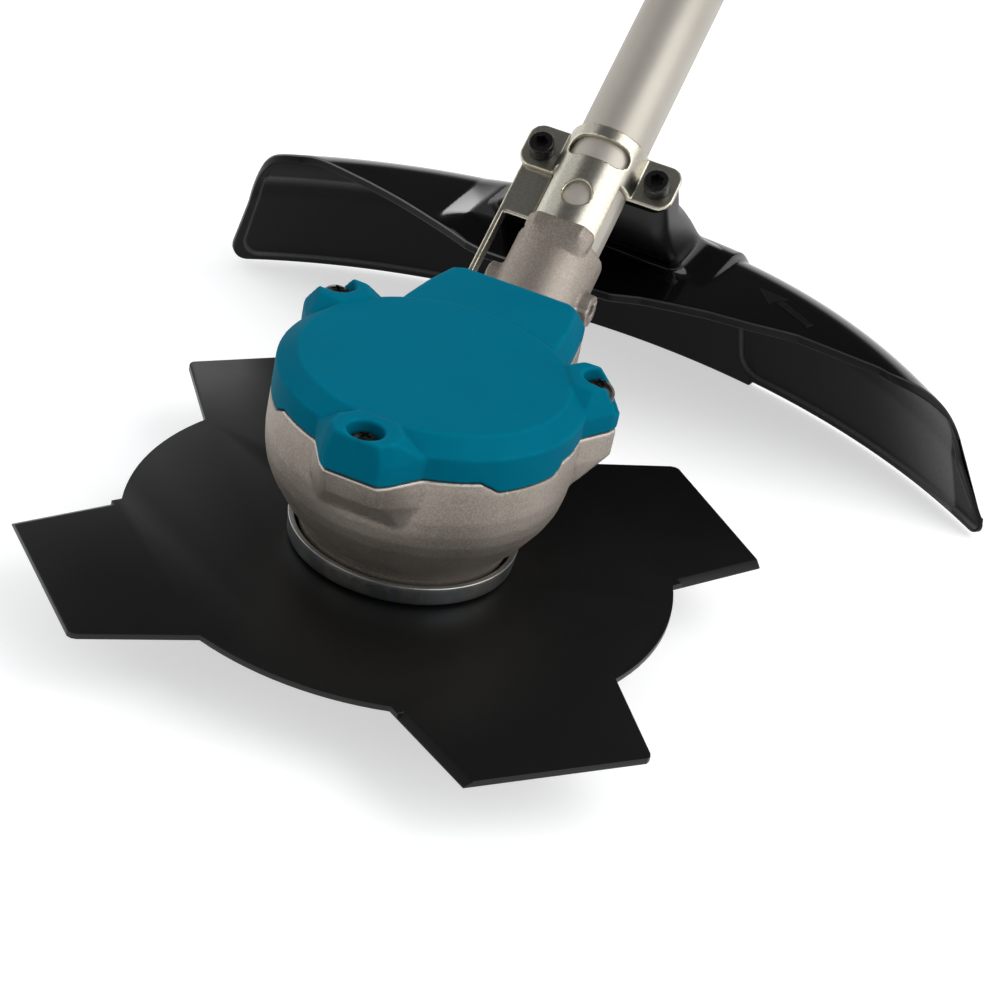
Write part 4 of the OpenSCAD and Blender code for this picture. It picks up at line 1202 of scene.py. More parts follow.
@dataclass
class Fasteners:
    """The screws and bolts that show."""

    head_r: float = 4.9
    head_h: float = 5.3
    head_wall: float = 1.5
    head_edge: float = 0.3
    seat_z: float = 81.0
    circle_r: float = 49.4
    screw_degs: tuple[float, ...] = (270, 30, 150)
    shank_r: float = 2.1
    shank_len: float = 14.0
    tip_in: float = 0.6
    tip_h: float = 1.0
    cross_half: float = 2.5
    cross_w: float = 0.55
    cross_depth: float = 1.7
    cross_taper: float = 0.55
    bolt_head_r: float = 4.25
    bolt_head_h: float = 5.0
    bolt_edge: float = 0.4
    bolt_round: float = 0.7
    bolt_r: float = 2.5
    bolt_len: float = 26.0
    bolt_x: float = 20.3
    bolt_along: float = 163.0
    bolt_seat_up: float = 2.0
    key_r: float = 2.25
    key_depth: float = 2.6
    key_lobes: int = 6
    key_wave: float = 0.1
    key_sides: int = 48
    over: float = 1.0
    nut_edge_mm: float = 0.25
    screw_sides: int = 48
    screw_seed: int = 4
    bolt_sides: int = 64
    bolt_seed: int = 7

    def shank(self, r: float, length: float) -> list[tuple[float, float]]:
        """The profile of a plain shank with a narrowed tip, up to the seat of the head."""
        return [(0, -length), (r - self.tip_in, -length), (r, self.tip_h - length), (r, 0)]

    def pan_head(self) -> Piece:
        """A domed screw with a cross recess, standing with its seat on the origin.

        Returns:
            The screw.
        """
        r, h, wall = self.head_r, self.head_h, self.head_wall
        dome = [(r * math.cos(a), wall + (h - wall) * math.sin(a))
                for a in (math.radians(9 * k) for k in range(1, 10))]
        profile = [*self.shank(self.shank_r, self.shank_len), (r - self.head_edge, 0), (r, self.head_edge),
                   (r, wall), *dome, (0, h)]
        arms = ((self.cross_half, self.cross_w), (self.cross_w, self.cross_half))
        return cut(lathe("pan_head_screw", profile, self.screw_sides), [self.recess(*arm) for arm in arms])

    def recess(self, half_x: float, half_y: float) -> Piece:
        """A tapered slot to cut into the head of a screw.

        Args:
            half_x: Half its width along X at the top.
            half_y: Half its width along Y at the top.

        Returns:
            The solid to cut away.
        """
        corners = ((-1, -1), (1, -1), (1, 1), (-1, 1))
        return loft("recess", [[upright(sx * half_x * share, sy * half_y * share, z) for sx, sy in corners]
                               for share, z in ((self.cross_taper, self.head_h - self.cross_depth),
                                                (1, self.head_h + self.over))])

    def socket_head(self) -> Piece:
        """A bolt with a round head and a six-lobed socket, standing with its seat on the origin.

        Returns:
            The bolt.
        """
        r, h, edge = self.bolt_head_r, self.bolt_head_h, self.bolt_round
        rim = [(r - edge + edge * math.cos(a), h - edge + edge * math.sin(a))
               for a in (math.radians(15 * k) for k in range(7))]
        profile = [*self.shank(self.bolt_r, self.bolt_len), (r - self.bolt_edge, 0), (r, self.bolt_edge),
                   *rim, (self.key_r + edge, h), (0, h)]
        turns = np.linspace(0, 2 * math.pi, self.key_sides, False)
        rings = [[upright(*polar(self.key_r * (1 + self.key_wave * math.cos(self.key_lobes * a)), a), z)
                  for a in turns] for z in (h - self.key_depth, h + self.over)]
        return cut(lathe("socket_head_bolt", profile, self.bolt_sides), [loft("key_socket", rings)])

    def build(self) -> None:
        """Makes the sets of screws and bolts."""
        maker = FastenerSet()
        seats = [upright(*polar(self.circle_r, math.radians(a)), self.seat_z) for a in self.screw_degs]
        screws = maker.make("cover_screw_set", self.pan_head(), seats, Matrix.Identity(3), self.screw_seed,
                            Finishes.screw)
        dress(screws, Finishes.screw, Body.HEAD, "cover_screws")
        seats = [PIPE.at(side.value * self.bolt_x, self.bolt_seat_up, self.bolt_along) for side in Side]
        bolts = maker.make("clamp_bolt_set", self.socket_head(), seats, PIPE.turn(), self.bolt_seed,
                           Finishes.screw)
        dress(bolts, Finishes.screw, Body.HEAD, "clamp_bolts")
        for node, finish in (("clamp_nuts", Finishes.zinc), ("pipe_lock_screws", Finishes.dark_steel)):
            dress(bevelled(node, self.nut_edge_mm), finish, Body.HEAD, node)


@dataclass
class PipeAndClamp:
    """The pipe, the saddle and bracket on it, and the connector in its free end."""

    clamp_cell_mm: float = 0.36
    clamp_rounds: int = 4

    def build(self) -> None:
        """Makes and dresses the pieces on the pipe."""
        for node, name in (("guard_clamp", "pressed_clamp"), ("guard_bracket", "folded_bracket")):
            piece = softened(merged_copy(node, name), self.clamp_cell_mm, self.clamp_rounds)
            dress(piece, Finishes.zinc, Body.HEAD, node)
        for node, finish, width in (
            ("shaft_pipe", Finishes.pipe, 0.3),
            ("connector_body", Finishes.plastic, 0.4),
            ("connector_pins", Finishes.brass, 0.3),
        ):
            dress(bevelled(node, width), finish, Body.HEAD, node)


@dataclass(frozen=True)
class Wing:
    """One half of the guard.

    Its end and the start of its sunken field are angles from the pipe. The top droops towards the end
    by a power of the angle, and the lean is the share of the angle that is lost at the top.
    """

    end_deg: float
    field_deg: float
    droop: float
    droop_power: int
    end_lean: float
    top_round: float


@dataclass
class Guard:
    """The moulded guard: a curved tray with raised borders, on an arm that carries it on the pipe.

    Angles are in degrees from the pipe, about the guard's own centre, and below 0 on the left. The
    tables hold hand-picked points: the front edge's depth by angle, and the crest's height by depth. The
    rows and lines say how close together the points of the shell are, and the rubs and dulls are marks
    that the finish reads.
    """

    left: Wing = Wing(end_deg=41.6, field_deg=12.6, droop=1.0, droop_power=2, end_lean=0.03, top_round=3.0)
    right: Wing = Wing(end_deg=43.2, field_deg=11.4, droop=8.0, droop_power=3, end_lean=0.2, top_round=0.0)
    skirt_r: float = 222.0
    back: float = 7.0
    turn_deg: float = 0.9
    top_z: float = 58.0
    shoulder: float = 25.0
    lean: float = 8.0
    wall: float = 3.0
    panel_left_x: float = -58.4
    panel_ramp: float = 9.2
    panel_right_x: float = 35.6
    panel_rise: float = 3.0
    step_y: float = 170.7
    step_slope: float = 0.117
    step_span: Span = (-0.3, 0.9)
    crest_front: Span = (155.0, 4.0)
    crest_left: Table = ((196, 0.3), (214, 0))
    crest_right: Table = ((166, 0), (192, 1), (202, 0.9), (214, 0))
    crest_turn_x: Span = (-10, 20)
    pad_deg: float = 12.2
    pad_run_deg: float = 0.5
    edge_z: float = 2.0
    corner_r: float = 7.0
    front_y: float = 150.0
    front_over: float = 8.0
    edge_round: float = 0.7
    edge_shares: tuple[float, ...] = (0, 0.33, 0.67, 1)
    edge_dull: tuple[float, ...] = (1.0, 1.0, 1.0, 0.0)
    # Painted highlight on the corner points of the front edge, weaker on the right wing.
    edge_highlights: tuple[float, ...] = (0.0, 0.75, 0.5, 0.0)
    right_highlight_share: float = 0.15
    field_depth: float = 1.6
    field_z: float = 4.6
    field_round: float = 8.0
    field_edge: float = 0.9
    field_top: Span = (22, 10)
    end_lip: float = 3.4
    end_sweep_deg: float = 3.6
    end_inset: float = 1.5
    flange: float = 17.0
    flange_z: float = 42.0
    crease: float = 1.6
    end_dull: float = 0.5
    # Painted highlight along the borders of the sunken fields, below a given height.
    lip_highlight: float = 2.2
    lip_top_z: float = 40.0
    # Painted reflection on the inner face near the right end, fading with distance from it and kept off the
    # band along the end.
    end_reflection: float = 0.55
    end_reflection_span: Span = (6, 75)
    ridge_r: float = 0.4
    ridge_in: float = 3.4
    ridge_z: Span = (12, 42)
    arrow_lift: float = 0.15
    arrow_root: float = -0.6
    sharp_deg: float = 48.0
    roof_soft: float = 4.0
    arc_points: int = 160
    near_rows: Span = (10, 0.5)
    middle_rows: tuple[float, int] = (44.0, 28)
    middle_share: float = 0.8
    far_rows: int = 34
    end_run: float = 16
    end_lines: int = 30
    end_extra: Span = (0.3, 0.7)
    plain_step: float = 0.45
    close_lines: tuple[Point, ...] = ((-23, -13.4, 0.15), (-13.2, -12, 0.08), (10.9, 14.8, 0.08))
    arm_dull_x: Span = (-36, -30)
    arm_dull_rise: Span = (4, 10)
    front_shape: Table = (
        (-40, 11), (-37.6, 11.9), (-31.8, 6.5), (-28.3, 2.2), (-23.3, -5.3), (-19.4, -11.5), (-16.5, -13.7),
        (2, -13), (5, -12.5), (9.6, -7.5), (14, -4.6), (19, -1.5), (25, 0.7), (30, 4), (36, 3), (39, 2.7),
        (42, -0.7), (44, -1))
    arrow: Table = ((19.1, 182.2), (23.4, 185.2), (23.3, 182.6), (29.2, 180.3), (29.2, 176.9), (23.2, 178.5),
                    (22.8, 175.6))

    def wing(self, a: float) -> Wing:
        """The wing that an angle belongs to."""
        return self.left if a < 0 else self.right

    def end_gap(self, a: float) -> float:
        """How far an angle is from its end of the guard, in millimetres along the skirt."""
        return math.radians(self.wing(a).end_deg - abs(a)) * self.skirt_r

    def flat_r(self) -> float:
        """Radius at which the flat top turns down into the shoulder."""
        return self.skirt_r - self.lean - self.shoulder

    def fallen(self, r: float) -> float:
        """How far the shoulder has turned down at a radius."""
        over = min(self.shoulder, max(0.0, r - self.flat_r()))
        return self.shoulder - math.sqrt(self.shoulder ** 2 - over ** 2)

    def roof(self, a: float) -> float:
        """Height of the plain top at an angle, which rounds off at the left end.

        Args:
            a: Angle from the pipe.

        Returns:
            The height.
        """
        wing = self.wing(a)
        over = max(0.0, wing.top_round - self.end_gap(a))
        fall = wing.droop * (abs(a) / wing.end_deg) ** wing.droop_power
        return self.top_z - fall - wing.top_round + math.sqrt(max(0.0, wing.top_round ** 2 - over ** 2))

    def front(self, a: float) -> float:
        """Radius of the front edge at an angle; close to the ends it sweeps out to meet the skirt.

        Args:
            a: Angle from the pipe.

        Returns:
            The radius.
        """
        line = (self.front_y + between(a, self.front_shape) - self.back) / math.cos(math.radians(a))
        line = min(self.flat_r() + self.front_over, line)
        over = unit(1 - (self.wing(a).end_deg - abs(a)) / self.end_sweep_deg)
        outer = self.skirt_r - self.lean - self.end_inset
        return line + (outer - line) * (1 - math.sqrt(1 - over * over))

    def step_x(self, y: float) -> float:
        """Where the step at the right of the middle panel stands, at a depth."""
        return self.panel_right_x + self.step_slope * (y - self.step_y)

    def plan(self, a: float, r: float, z: float) -> tuple[float, float]:
        """The place on the floor plan of a point of the shell."""
        b = math.radians(self.turn_deg + a * (1 - self.wing(a).end_lean * z / self.top_z))
        return r * math.sin(b), self.back + r * math.cos(b)

    def at(self, a: float, r: float, z: float) -> Vector:
        """The point of the frame at an angle, radius and height of the shell."""
        return upright(*self.plan(a, r, z), z)

    def rise(self, a: float, r: float) -> float:
        """How far the middle panel stands above the plain top.

        Args:
            a: Angle from the pipe in degrees.
            r: Radius about the guard's own centre.

        Returns:
            The rise: a ramp on the left, a step on the right, and a crest that falls to both edges.
        """
        x, y = self.plan(a, r, self.top_z)
        edge_y = self.plan(a, self.front(a), self.top_z)[1]
        low, high = (self.step_x(y) + edge for edge in self.step_span)
        width = unit((x - self.panel_left_x) / self.panel_ramp) * (1 - smooth_step(low, high, x))
        least_y, run = self.crest_front
        left = between(y, ((edge_y, 0), (max(least_y, edge_y + run), 1), *self.crest_left))
        right = between(y, self.crest_right)
        return self.panel_rise * width * (left + (right - left) * smooth_step(*self.crest_turn_x, x))

    def top_at(self, x: float, y: float) -> float:
        """Height of the guard's top over a point of the floor plan.

        Args:
            x: Distance to the right of the spindle axis.
            y: Distance behind the spindle axis.

        Returns:
            The height.
        """
        r = math.hypot(x, y - self.back)
        b = math.degrees(math.atan2(x, y - self.back)) - self.turn_deg
        a = b / (1 - self.wing(b).end_lean)
        return self.roof(a) + self.rise(a, r) - self.fallen(r)

    def low(self, a: float) -> float:
        """Height of the lower edge at an angle.

        Args:
            a: Angle from the pipe.

        Returns:
            The height.
        """
        over = min(self.corner_r, max(0.0, self.corner_r - self.end_gap(a)))
        rest = self.edge_z + self.corner_r - math.sqrt(self.corner_r ** 2 - over ** 2)
        return rest * smooth_step(self.pad_deg, self.pad_deg + self.pad_run_deg, abs(a))

    def field(self, a: float, z: float) -> float:
        """How far a point of the inner face lies in the sunken field of its wing, from 0 to 1.

        Args:
            a: Angle from the pipe.
            z: Height of the point.

        Returns:
            1 in the field, 0 on its borders.
        """
        across = math.radians(abs(a) - self.wing(a).field_deg) * self.skirt_r
        if a < 0:
            across = min(across, self.end_gap(a) - self.end_lip)
        up = z - self.field_z
        inside = min(across, up)
        if across < self.field_round and up < self.field_round:
            inside = self.field_round - math.hypot(self.field_round - across, self.field_round - up)
        low, high = (self.top_z - drop for drop in self.field_top)
        return smooth_step(-self.field_edge, self.field_edge, inside) * (1 - smooth_step(low, high, z))

    def section(self, a: float, depth: float) -> list[Vector]:
        """One line over the shell at an angle, from the front edge to the lower edge.

        Args:
            a: Angle from the pipe in degrees.
            depth: How far the line lies inside the outer face; above 0 it is the inner face.

        Returns:
            The points, closest together near the lower edge.
        """
        flat_r = self.flat_r()
        roof, front, low = self.roof(a), self.front(a), self.low(a)
        first = math.asin(max(0.0, front - flat_r) / self.shoulder)
        arc = self.shoulder - depth
        line = [(front - depth * math.sin(first), roof - depth - arc * (1 - math.cos(first)))]
        line += [(flat_r + arc * math.sin(b), roof - depth - arc * (1 - math.cos(b)))
                 for b in np.linspace(first, math.pi / 2, self.arc_points)[1 if front > flat_r else 0:]]
        line.append((self.skirt_r - self.lean + self.lean * (1 - low / self.top_z) - depth, low))
        points = np.array(line)
        walked = np.concatenate([[0], np.cumsum(np.linalg.norm(np.diff(points, axis=0), axis=1))])
        (near, step), (middle, count) = self.near_rows, self.middle_rows
        middle = min(middle, self.middle_share * walked[-1])
        from_low = np.concatenate([[0], np.arange(1, near, step), np.linspace(near, middle, count),
                                   np.linspace(middle, walked[-1], self.far_rows)[1:]])
        rows = walked[-1] - from_low[::-1]
        made = []
        for r, z in zip(np.interp(rows, walked, points[:, 0]), np.interp(rows, walked, points[:, 1])):
            lift = self.rise(a, r) * smooth_step(low, roof - self.roof_soft, z)
            if depth:
                r += self.field_depth * self.field(a, z)
            made.append(self.at(a, r, z + lift))
        return made

    def stations(self) -> list[float]:
        """Angles of the lines over the shell, close together where the shape turns quickly.

        Returns:
            The angles, in order.
        """
        first, last = -self.left.end_deg, self.right.end_deg
        degrees = math.degrees(1 / self.skirt_r)
        run = self.end_run
        ends = [run * (1 - math.sin(t)) * degrees for t in np.linspace(0, math.pi / 2, self.end_lines)]
        ends = np.array([*ends, *(gap * degrees for gap in self.end_extra)])
        plain = np.arange(first + run * degrees, last - run * degrees, self.plain_step)
        close = [np.arange(*lines) for lines in self.close_lines]
        return sorted(set(np.round(np.concatenate([plain, *close, first + ends, last - ends]), 3)))

    def ring(self, a: float) -> list[Vector]:
        """The closed line round the wall at an angle, with its four edges broken.

        Args:
            a: Angle from the pipe.

        Returns:
            The points, from the front edge over the outside and back along the inside.
        """

        def broken(before: Vector, corner: Vector, after: Vector) -> list[Vector]:
            """Points of a small arc in place of a corner."""
            start, end = (corner + (p - corner).normalized() * self.edge_round * MM for p in (before, after))
            return [bent(start, corner, end, share) for share in self.edge_shares]

        outer, inner = self.section(a, 0.0), self.section(a, self.wall)
        inset = self.edge_round - min(self.edge_round, self.end_gap(a))
        for k, (far, near) in enumerate(zip(outer, inner)):
            way = (near - far).normalized() * inset * MM
            outer[k], inner[k] = far + way, near - way
        made = broken(inner[0], outer[0], outer[1]) + outer[1:-1]
        made += broken(outer[-2], outer[-1], inner[-1]) + broken(outer[-1], inner[-1], inner[-2])
        return made + inner[-2:0:-1] + broken(inner[1], inner[0], outer[0])

    def end_ridge(self) -> Piece:
        """The fine ridge that runs down the right end, beside its thick border.

        Returns:
            The ridge.
        """
        low, high = self.ridge_z
        line = [p for p in self.section(self.right.end_deg, 0.0) if low * MM < p.z < high * MM]
        centre = self.back * MM
        inward = [p - Vector((p.x, p.y - centre, 0)).normalized() * self.ridge_in * MM for p in line]
        return BeadPath().make("right_end_ridge", inward, self.ridge_r, 10, Finishes.guard)

    def turning_arrow(self) -> Piece:
        """A plain arrow that stands a little above the right wing.

        Returns:
            The arrow.
        """
        tip, head_back, shaft_back, end_back, end_front, shaft_front, head_front = (
            np.array(corner) for corner in self.arrow)
        solids = []
        for first, last, start in (((tip, tip), (head_back, head_front), 0.08),
                                   ((shaft_back, shaft_front), (end_back, end_front), 0.0)):
            rings = []
            for share in np.linspace(start, 1, 9):
                far, near = (p + (q - p) * share for p, q in zip(first, last))
                across = [far + (near - far) * t for t in (0, 0.5, 1)]
                rings.append([self.at(a, r, self.roof(a) - self.fallen(r) + lift)
                              for lift, row in ((self.arrow_lift, across), (self.arrow_root, across[::-1]))
                              for a, r in row])
            solids.append(loft("turning_arrow", rings))
        return join(solids[0], solids[1:])

    def skin_mark(self, a: float, k: int, side: int, z: float) -> tuple[float, float]:
        """How dull and how rubbed the shell is at one point of a ring.

        Args:
            a: Angle of the ring in degrees.
            k: Place of the point in the ring, which starts at the front edge and goes over the outside.
            side: Points of one face of the ring.
            z: Height of the point in millimetres.

        Returns:
            The dullness, which is 1 on the inner face and the edges, and the rubbing along the borders.
        """
        edge = len(self.edge_shares)
        if k < edge:
            # Painted highlight on the corners of the front edge.
            return self.edge_dull[k], self.edge_highlights[k] * (1.0 if a < 0 else self.right_highlight_share)
        gap = self.end_gap(a)
        if k < edge + side:
            return (1.0 if gap < self.end_dull else 0.0), 0.0
        if not 3 * edge + side <= k < 3 * edge + 2 * side:
            return 1.0, 0.0
        inside = self.field(a, z)
        # Painted highlight along the border of the sunken field.
        painted_highlight = self.lip_highlight * inside * (1 - inside) if z < self.lip_top_z else 0.0
        if a > 0:
            # Painted reflection on the inner face near the right end, left out of a band along the end.
            start = self.flange * max(0.0, 1 - z / self.flange_z)
            painted_reflection = self.end_reflection * (1 - smooth_step(*self.end_reflection_span, gap)) ** 2
            painted_highlight = max(painted_highlight, painted_reflection * smooth_step(start, start + self.crease, gap))
        return 1.0, painted_highlight

    def mark(self, piece: Piece, skin: int, plain: int) -> None:
        """Marks the dull and the rubbed parts of the guard on its points.

        Args:
            piece: The guard.
            skin: Points of the shell, which come first.
            plain: Points before those of the arrow, which is half dull.
        """
        angles = self.stations()
        count = skin // len(angles)
        side = (count - 4 * len(self.edge_shares)) // 2
        pairs = []
        for v in piece.data.vertices:
            x, z = v.co.x / MM, v.co.z / MM
            if v.index < skin:
                pairs.append(self.skin_mark(angles[v.index // count], v.index % count, side, z))
            elif v.index < plain:
                left = 1 - smooth_step(*self.arm_dull_x, x)
                low, high = (self.top_z + rise for rise in self.arm_dull_rise)
                pairs.append((max(left, smooth_step(low, high, z)), 0.0))
            else:
                pairs.append((0.5, 0.0))
        dull, painted_highlight = zip(*pairs)
        # The rim mark carries the painted highlights and the painted reflection.
        write_marks(piece, {"inner": dull, "rim": painted_highlight})

    def build(self) -> None:
        """Makes and dresses the guard."""
        guard = loft("moulded_guard", [self.ring(a) for a in self.stations()])
        skin = len(guard.data.vertices)
        join(guard, [GuardArm(self).shape(), self.end_ridge()])
        plain = len(guard.data.vertices)
        shaded(join(guard, [self.turning_arrow()]), self.sharp_deg)
        self.mark(guard, skin, plain)
        dress(guard, Finishes.guard, Body.HEAD, "guard")


@dataclass
class GuardArm:
    """The arm that leans back from the clamp to the guard's top and flares into it.

    It is a rounded rectangle that grows on its way from the clamp to the guard. The flare reaches
    further on the right than on the left, and stops short of the step of the guard's panel.
    """

    guard: Guard
    along: float = 163.7
    tops: Span = (-1.7, -8.0)
    root_up: float = -16.0
    foot: Point = (-9.5, 181.5, 61.5)
    half_x: float = 25.7
    half_y: float = 7.7
    growth_x: float = 9.0
    growth_y: float = 6.4
    corner: float = 4.5
    shear: float = 0.06
    foot_round: float = 12.0
    foot_reach: Span = (0.72, 0.28)
    foot_rows: int = 11
    step_gap: float = 1.4
    sink: float = 0.25
    tuck: float = 0.4
    upper_shares: Point = (0, 0.25, 0.5)
    search: tuple[float, float, int] = (0.6, 1.35, 76)
    last_level: int = 60
    flare_levels: int = 26
    corner_points: int = 9
    side_points: tuple[int, int] = (22, 9)

    def box(self, centre: Vector, half_x: float, half_y: float, across: Vector) -> Outline:
        """Points of one rounded rectangle, each with its way out.

        Args:
            centre: Middle of the rectangle.
            half_x: Half its width.
            half_y: Half its depth.
            across: Direction of its depth.

        Returns:
            Pairs of a point and a direction.
        """
        made = []
        for quarter, (sx, sy) in enumerate(((1, 1), (-1, 1), (-1, -1), (1, -1))):
            count = self.side_points[quarter % 2]
            turns = [(quarter * math.pi / 2 + t, 0.0)
                     for t in np.linspace(0, math.pi / 2, self.corner_points)]
            turns += [((quarter + 1) * math.pi / 2, s) for s in np.linspace(0, 1, count)[1:-1]]
            for b, share in turns:
                x, y = sx * (half_x - self.corner), sy * (half_y - self.corner)
                if quarter % 2 == 0:
                    x -= 2 * x * share
                else:
                    y -= 2 * y * share
                x, y = x + self.corner * math.cos(b), y + self.corner * math.sin(b)
                made.append((centre + Vector((x + self.shear * y, 0, 0)) * MM + across * y * MM,
                             Vector((math.cos(b), math.sin(b), 0))))
        return made

    def level(self, share: float) -> Outline:
        """The rounded rectangle at a share of the way from the clamp to the guard.

        Args:
            share: 0 at the clamp, 1 at the guard's top.

        Returns:
            Pairs of a point and a direction.
        """
        centre = PIPE.at(0, self.root_up, self.along).lerp(upright(*self.foot), share)
        across = PIPE.along.lerp(Vector((0, 1, 0)), min(1.0, share)).normalized()
        return self.box(centre, self.half_x + self.growth_x * share, self.half_y + self.growth_y * share,
                        across)

    def top_at(self, place: Vector) -> float:
        """Height of the guard's top at a point, in metres."""
        return self.guard.top_at(place.x / MM, place.y / MM) * MM

    def shape(self) -> Piece:
        """The arm as one closed skin.

        Returns:
            The arm.
        """
        levels = [self.level(share) for share in np.linspace(*self.search)]
        boxes = [self.box(PIPE.at(0, up, self.along), self.half_x, self.half_y, PIPE.along)
                 for up in self.tops]
        boxes += [self.level(share) for share in self.upper_shares]
        rings = [[p for p, _ in box] for box in boxes]
        flare = [[] for _ in range(self.foot_rows + 1)]
        least, more = self.foot_reach
        for k in range(len(rings[0])):
            touch = next((n for n, line in enumerate(levels) if line[k][0].z <= self.top_at(line[k][0])),
                         self.last_level)
            middle, out = levels[touch][k]
            reach = least + more * out.x
            start = levels[max(0, touch - round(self.flare_levels * reach))][k][0]
            end = middle + out * self.foot_round * reach * MM
            end.x = min(end.x, (self.guard.step_x(end.y / MM) - self.step_gap) * MM)
            end.z = self.top_at(end) - self.sink * MM
            for row, share in zip(flare, np.linspace(0, 1, self.foot_rows)):
                row.append(bent(start, middle, end, share))
            flare[-1].append(end + (out - Vector((0, 0, 1))) * self.tuck * MM)
        return loft("hump", rings + flare)


@dataclass
class InnerWorks:
    """The motor, bearings and cable inside, which keep their packed shapes."""

    def build(self) -> None:
        """Dresses every packed node that is still shown."""
        for finish, body, nodes in (
            (Finishes.steel, Body.ROTOR, ("spindle", "rotor_nut", "lower_inner_race", "upper_inner_race")),
            (Finishes.dark_steel, Body.ROTOR, ("rotor_bell", "rotor_magnets")),
            (Finishes.steel, Body.HEAD, ("lower_outer_race", "upper_outer_race", "lower_bearing_balls",
                                         "upper_bearing_balls", "board_screws")),
            (Finishes.brass, Body.HEAD, ("lower_bearing_cage", "upper_bearing_cage")),
            (Finishes.dark_steel, Body.HEAD, ("bearing_circlip",)),
            (Finishes.rubber, Body.HEAD, ("spindle_seal", "cover_gasket", "motor_cable", "cable_grommet")),
            (Finishes.lamination, Body.HEAD, ("stator_core",)),
            (Finishes.insulator, Body.HEAD, ("stator_insulators",)),
            (Finishes.copper, Body.HEAD, ("stator_windings",)),
            (Finishes.board, Body.HEAD, ("sensor_board",)),
        ):
            for node in nodes:
                mesh = frame["nodes"][node].data
                mesh.materials.clear()
                mesh.materials.append(finish.material())
                LOG.info("%s: packed shape, %s on %s", node, finish.slot, body.value)


# Studio


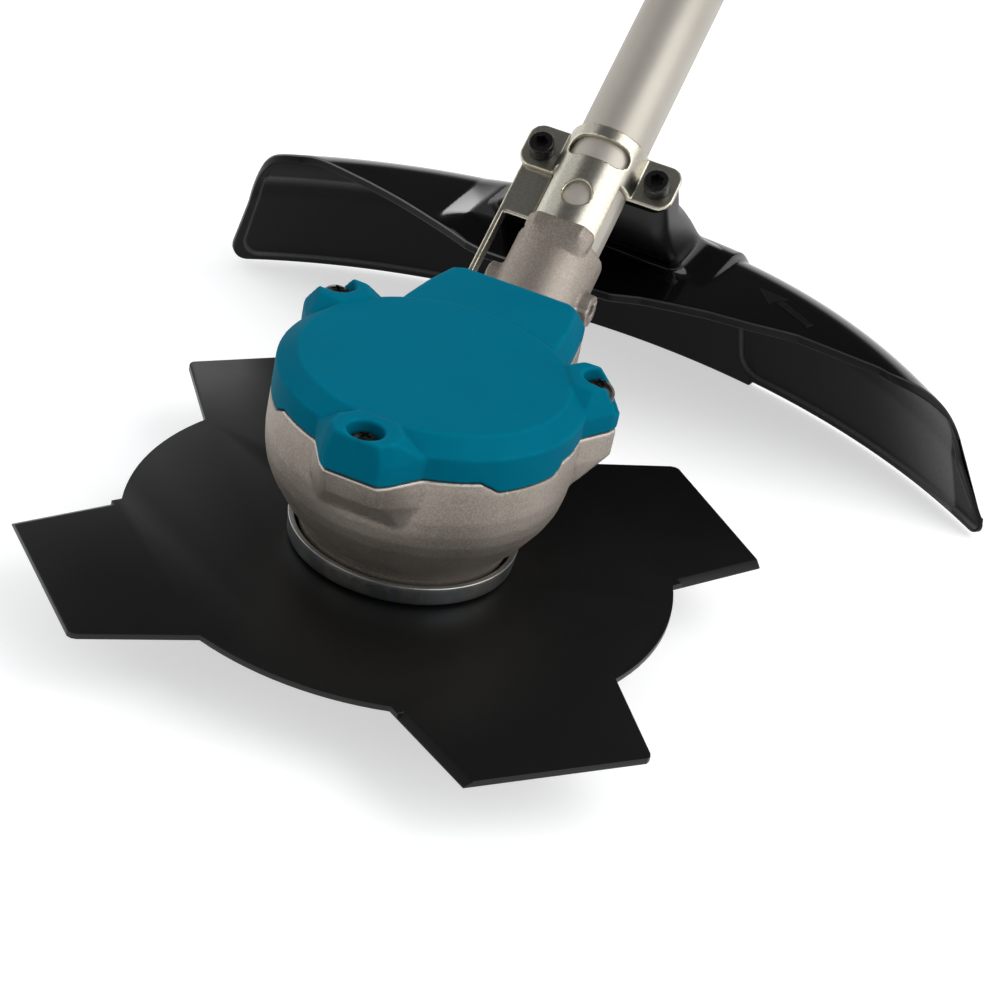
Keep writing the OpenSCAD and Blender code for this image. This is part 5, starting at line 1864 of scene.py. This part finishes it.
@dataclass
class Studio:
    """The camera at the photograph's angle, soft lights, a pale floor and a white surround.

    The camera's place is in millimetres. Each light has its name, its place in metres, its size in
    metres and its power in watts.
    """

    camera_at: Point = (204.186, -634.823, 441.723)
    camera_right: Point = (0.91141, 0.36752, 0.18510)
    camera_down: Point = (0.34077, -0.42194, -0.84015)
    camera_forward: Point = (-0.23067, 0.82879, -0.50980)
    lens_mm: float = 94.29
    sensor_mm: float = 36.0
    floor_half_m: float = 6.0
    floor_tones: tuple[Colour, Colour] = ((0.62, 0.62, 0.62), (0.64, 0.64, 0.64))
    floor_glow: float = 0.55
    world_tone: Colour = (0.95, 0.97, 1.0)
    world_strength: float = 0.5
    mirrored: tuple[tuple[float, Colour], ...] = (
        (0.0, (1, 1, 1)), (0.18, (0.9, 0.9, 0.9)), (0.34, (0.05, 0.05, 0.05)), (0.7, (0.04, 0.04, 0.04)),
        (0.9, (0.12, 0.12, 0.12)))
    aim: Point = (0.0, 0.06, 0.06)
    lights: tuple[tuple[str, Point, float, float], ...] = (
        ("key", (1.05, 0.08, 1.1), 1.4, 17), ("left", (-1.3, 0.25, 0.8), 1.4, 5),
        ("back_left", (-1.02, 1.75, 0.45), 0.42, 0.9), ("front", (-0.85, -1.3, 1.05), 1.2, 2.8))

    def camera(self) -> None:
        """Sets the camera."""
        data = bpy.data.cameras.new("camera")
        data.sensor_width = self.sensor_mm
        data.lens = self.lens_mm
        data.clip_start = 0.01
        data.clip_end = 50
        made = linked("camera", data)
        axes = Matrix((Vector(self.camera_right), -Vector(self.camera_down), -Vector(self.camera_forward)))
        made.matrix_world = Matrix.Translation(upright(*self.camera_at)) @ axes.transposed().to_4x4()
        bpy.context.scene.camera = made

    @staticmethod
    def mirror_rays(graph: Graph, path: bpy.types.Node) -> Value:
        """1 for the rays that a surface mirrors or lets through, else 0."""
        return graph.math("MAXIMUM", graph.out(path, "Is Glossy Ray"),
                          graph.out(path, "Is Transmission Ray"))

    def floor(self) -> None:
        """A pale floor that keeps the object's shadow."""
        half = self.floor_half_m
        plane = new_object("floor", [(-half, -half, 0), (half, -half, 0), (half, half, 0), (-half, half, 0)],
                           [(0, 1, 2, 3)])
        graph = Graph(bpy.data.materials.new("floor_white"))
        lit = graph.value("ShaderNodeBsdfDiffuse", None, {
            "Color": graph.mix(graph.noise(400.0, 2.0), *self.floor_tones)})
        path = graph.node("ShaderNodeLightPath")
        direct = graph.math("MAXIMUM", graph.out(path, "Is Camera Ray"), self.mirror_rays(graph, path))
        glow = graph.value("ShaderNodeEmission", None, {
            "Color": (1, 1, 1, 1), "Strength": direct * self.floor_glow})
        graph.close(graph.value("ShaderNodeAddShader", None, {0: lit, 1: glow}))
        plane.data.materials.append(graph.owner)

    def world(self) -> None:
        """A white surround for the eye, a banded one for reflections, and a soft one for light."""
        world = bpy.data.worlds.new("surround")
        bpy.context.scene.world = world
        graph = Graph(world)
        path = graph.node("ShaderNodeLightPath")
        up = graph.value("ShaderNodeSeparateXYZ", None, {0: graph.out(graph.where, "Generated")}, 2)
        lamp, mirror, white = (
            graph.value("ShaderNodeBackground", None, {"Color": colour, "Strength": strength})
            for colour, strength in (((*self.world_tone, 1), self.world_strength),
                                     (graph.ramp(up, self.mirrored), 1.0), ((1, 1, 1, 1), 1.0)))
        around = graph.blend(self.mirror_rays(graph, path), lamp, mirror)
        graph.close(graph.blend(graph.out(path, "Is Camera Ray"), around, white))

    def light(self, name: str, at: Point, size_m: float, watts: float) -> None:
        """One square soft light that faces the object.

        Args:
            name: Name of the light.
            at: Its place in metres.
            size_m: Length of its sides.
            watts: Its power.
        """
        data = bpy.data.lights.new(name, "AREA")
        data.shape = "SQUARE"
        data.size = size_m
        data.energy = watts
        made = linked(name, data)
        facing = (Vector(self.aim) - Vector(at)).to_track_quat("-Z", "Y")
        made.matrix_world = Matrix.Translation(at) @ facing.to_matrix().to_4x4()
        made.visible_camera = False

    def build(self) -> None:
        """Sets up the studio."""
        bpy.context.scene.view_settings.view_transform = "Standard"
        self.camera()
        self.floor()
        self.world()
        for light in self.lights:
            self.light(*light)


def main() -> None:
    """Builds the studio and every sub-assembly in order."""
    logging.basicConfig(level=logging.INFO, format="%(message)s")
    for assembly in (Studio(), BladeStack(), MotorCase(), Fasteners(), PipeAndClamp(), Guard(),
                     InnerWorks()):
        LOG.info("%s", type(assembly).__doc__)
        assembly.build()


if __name__ == "__main__":
    main()
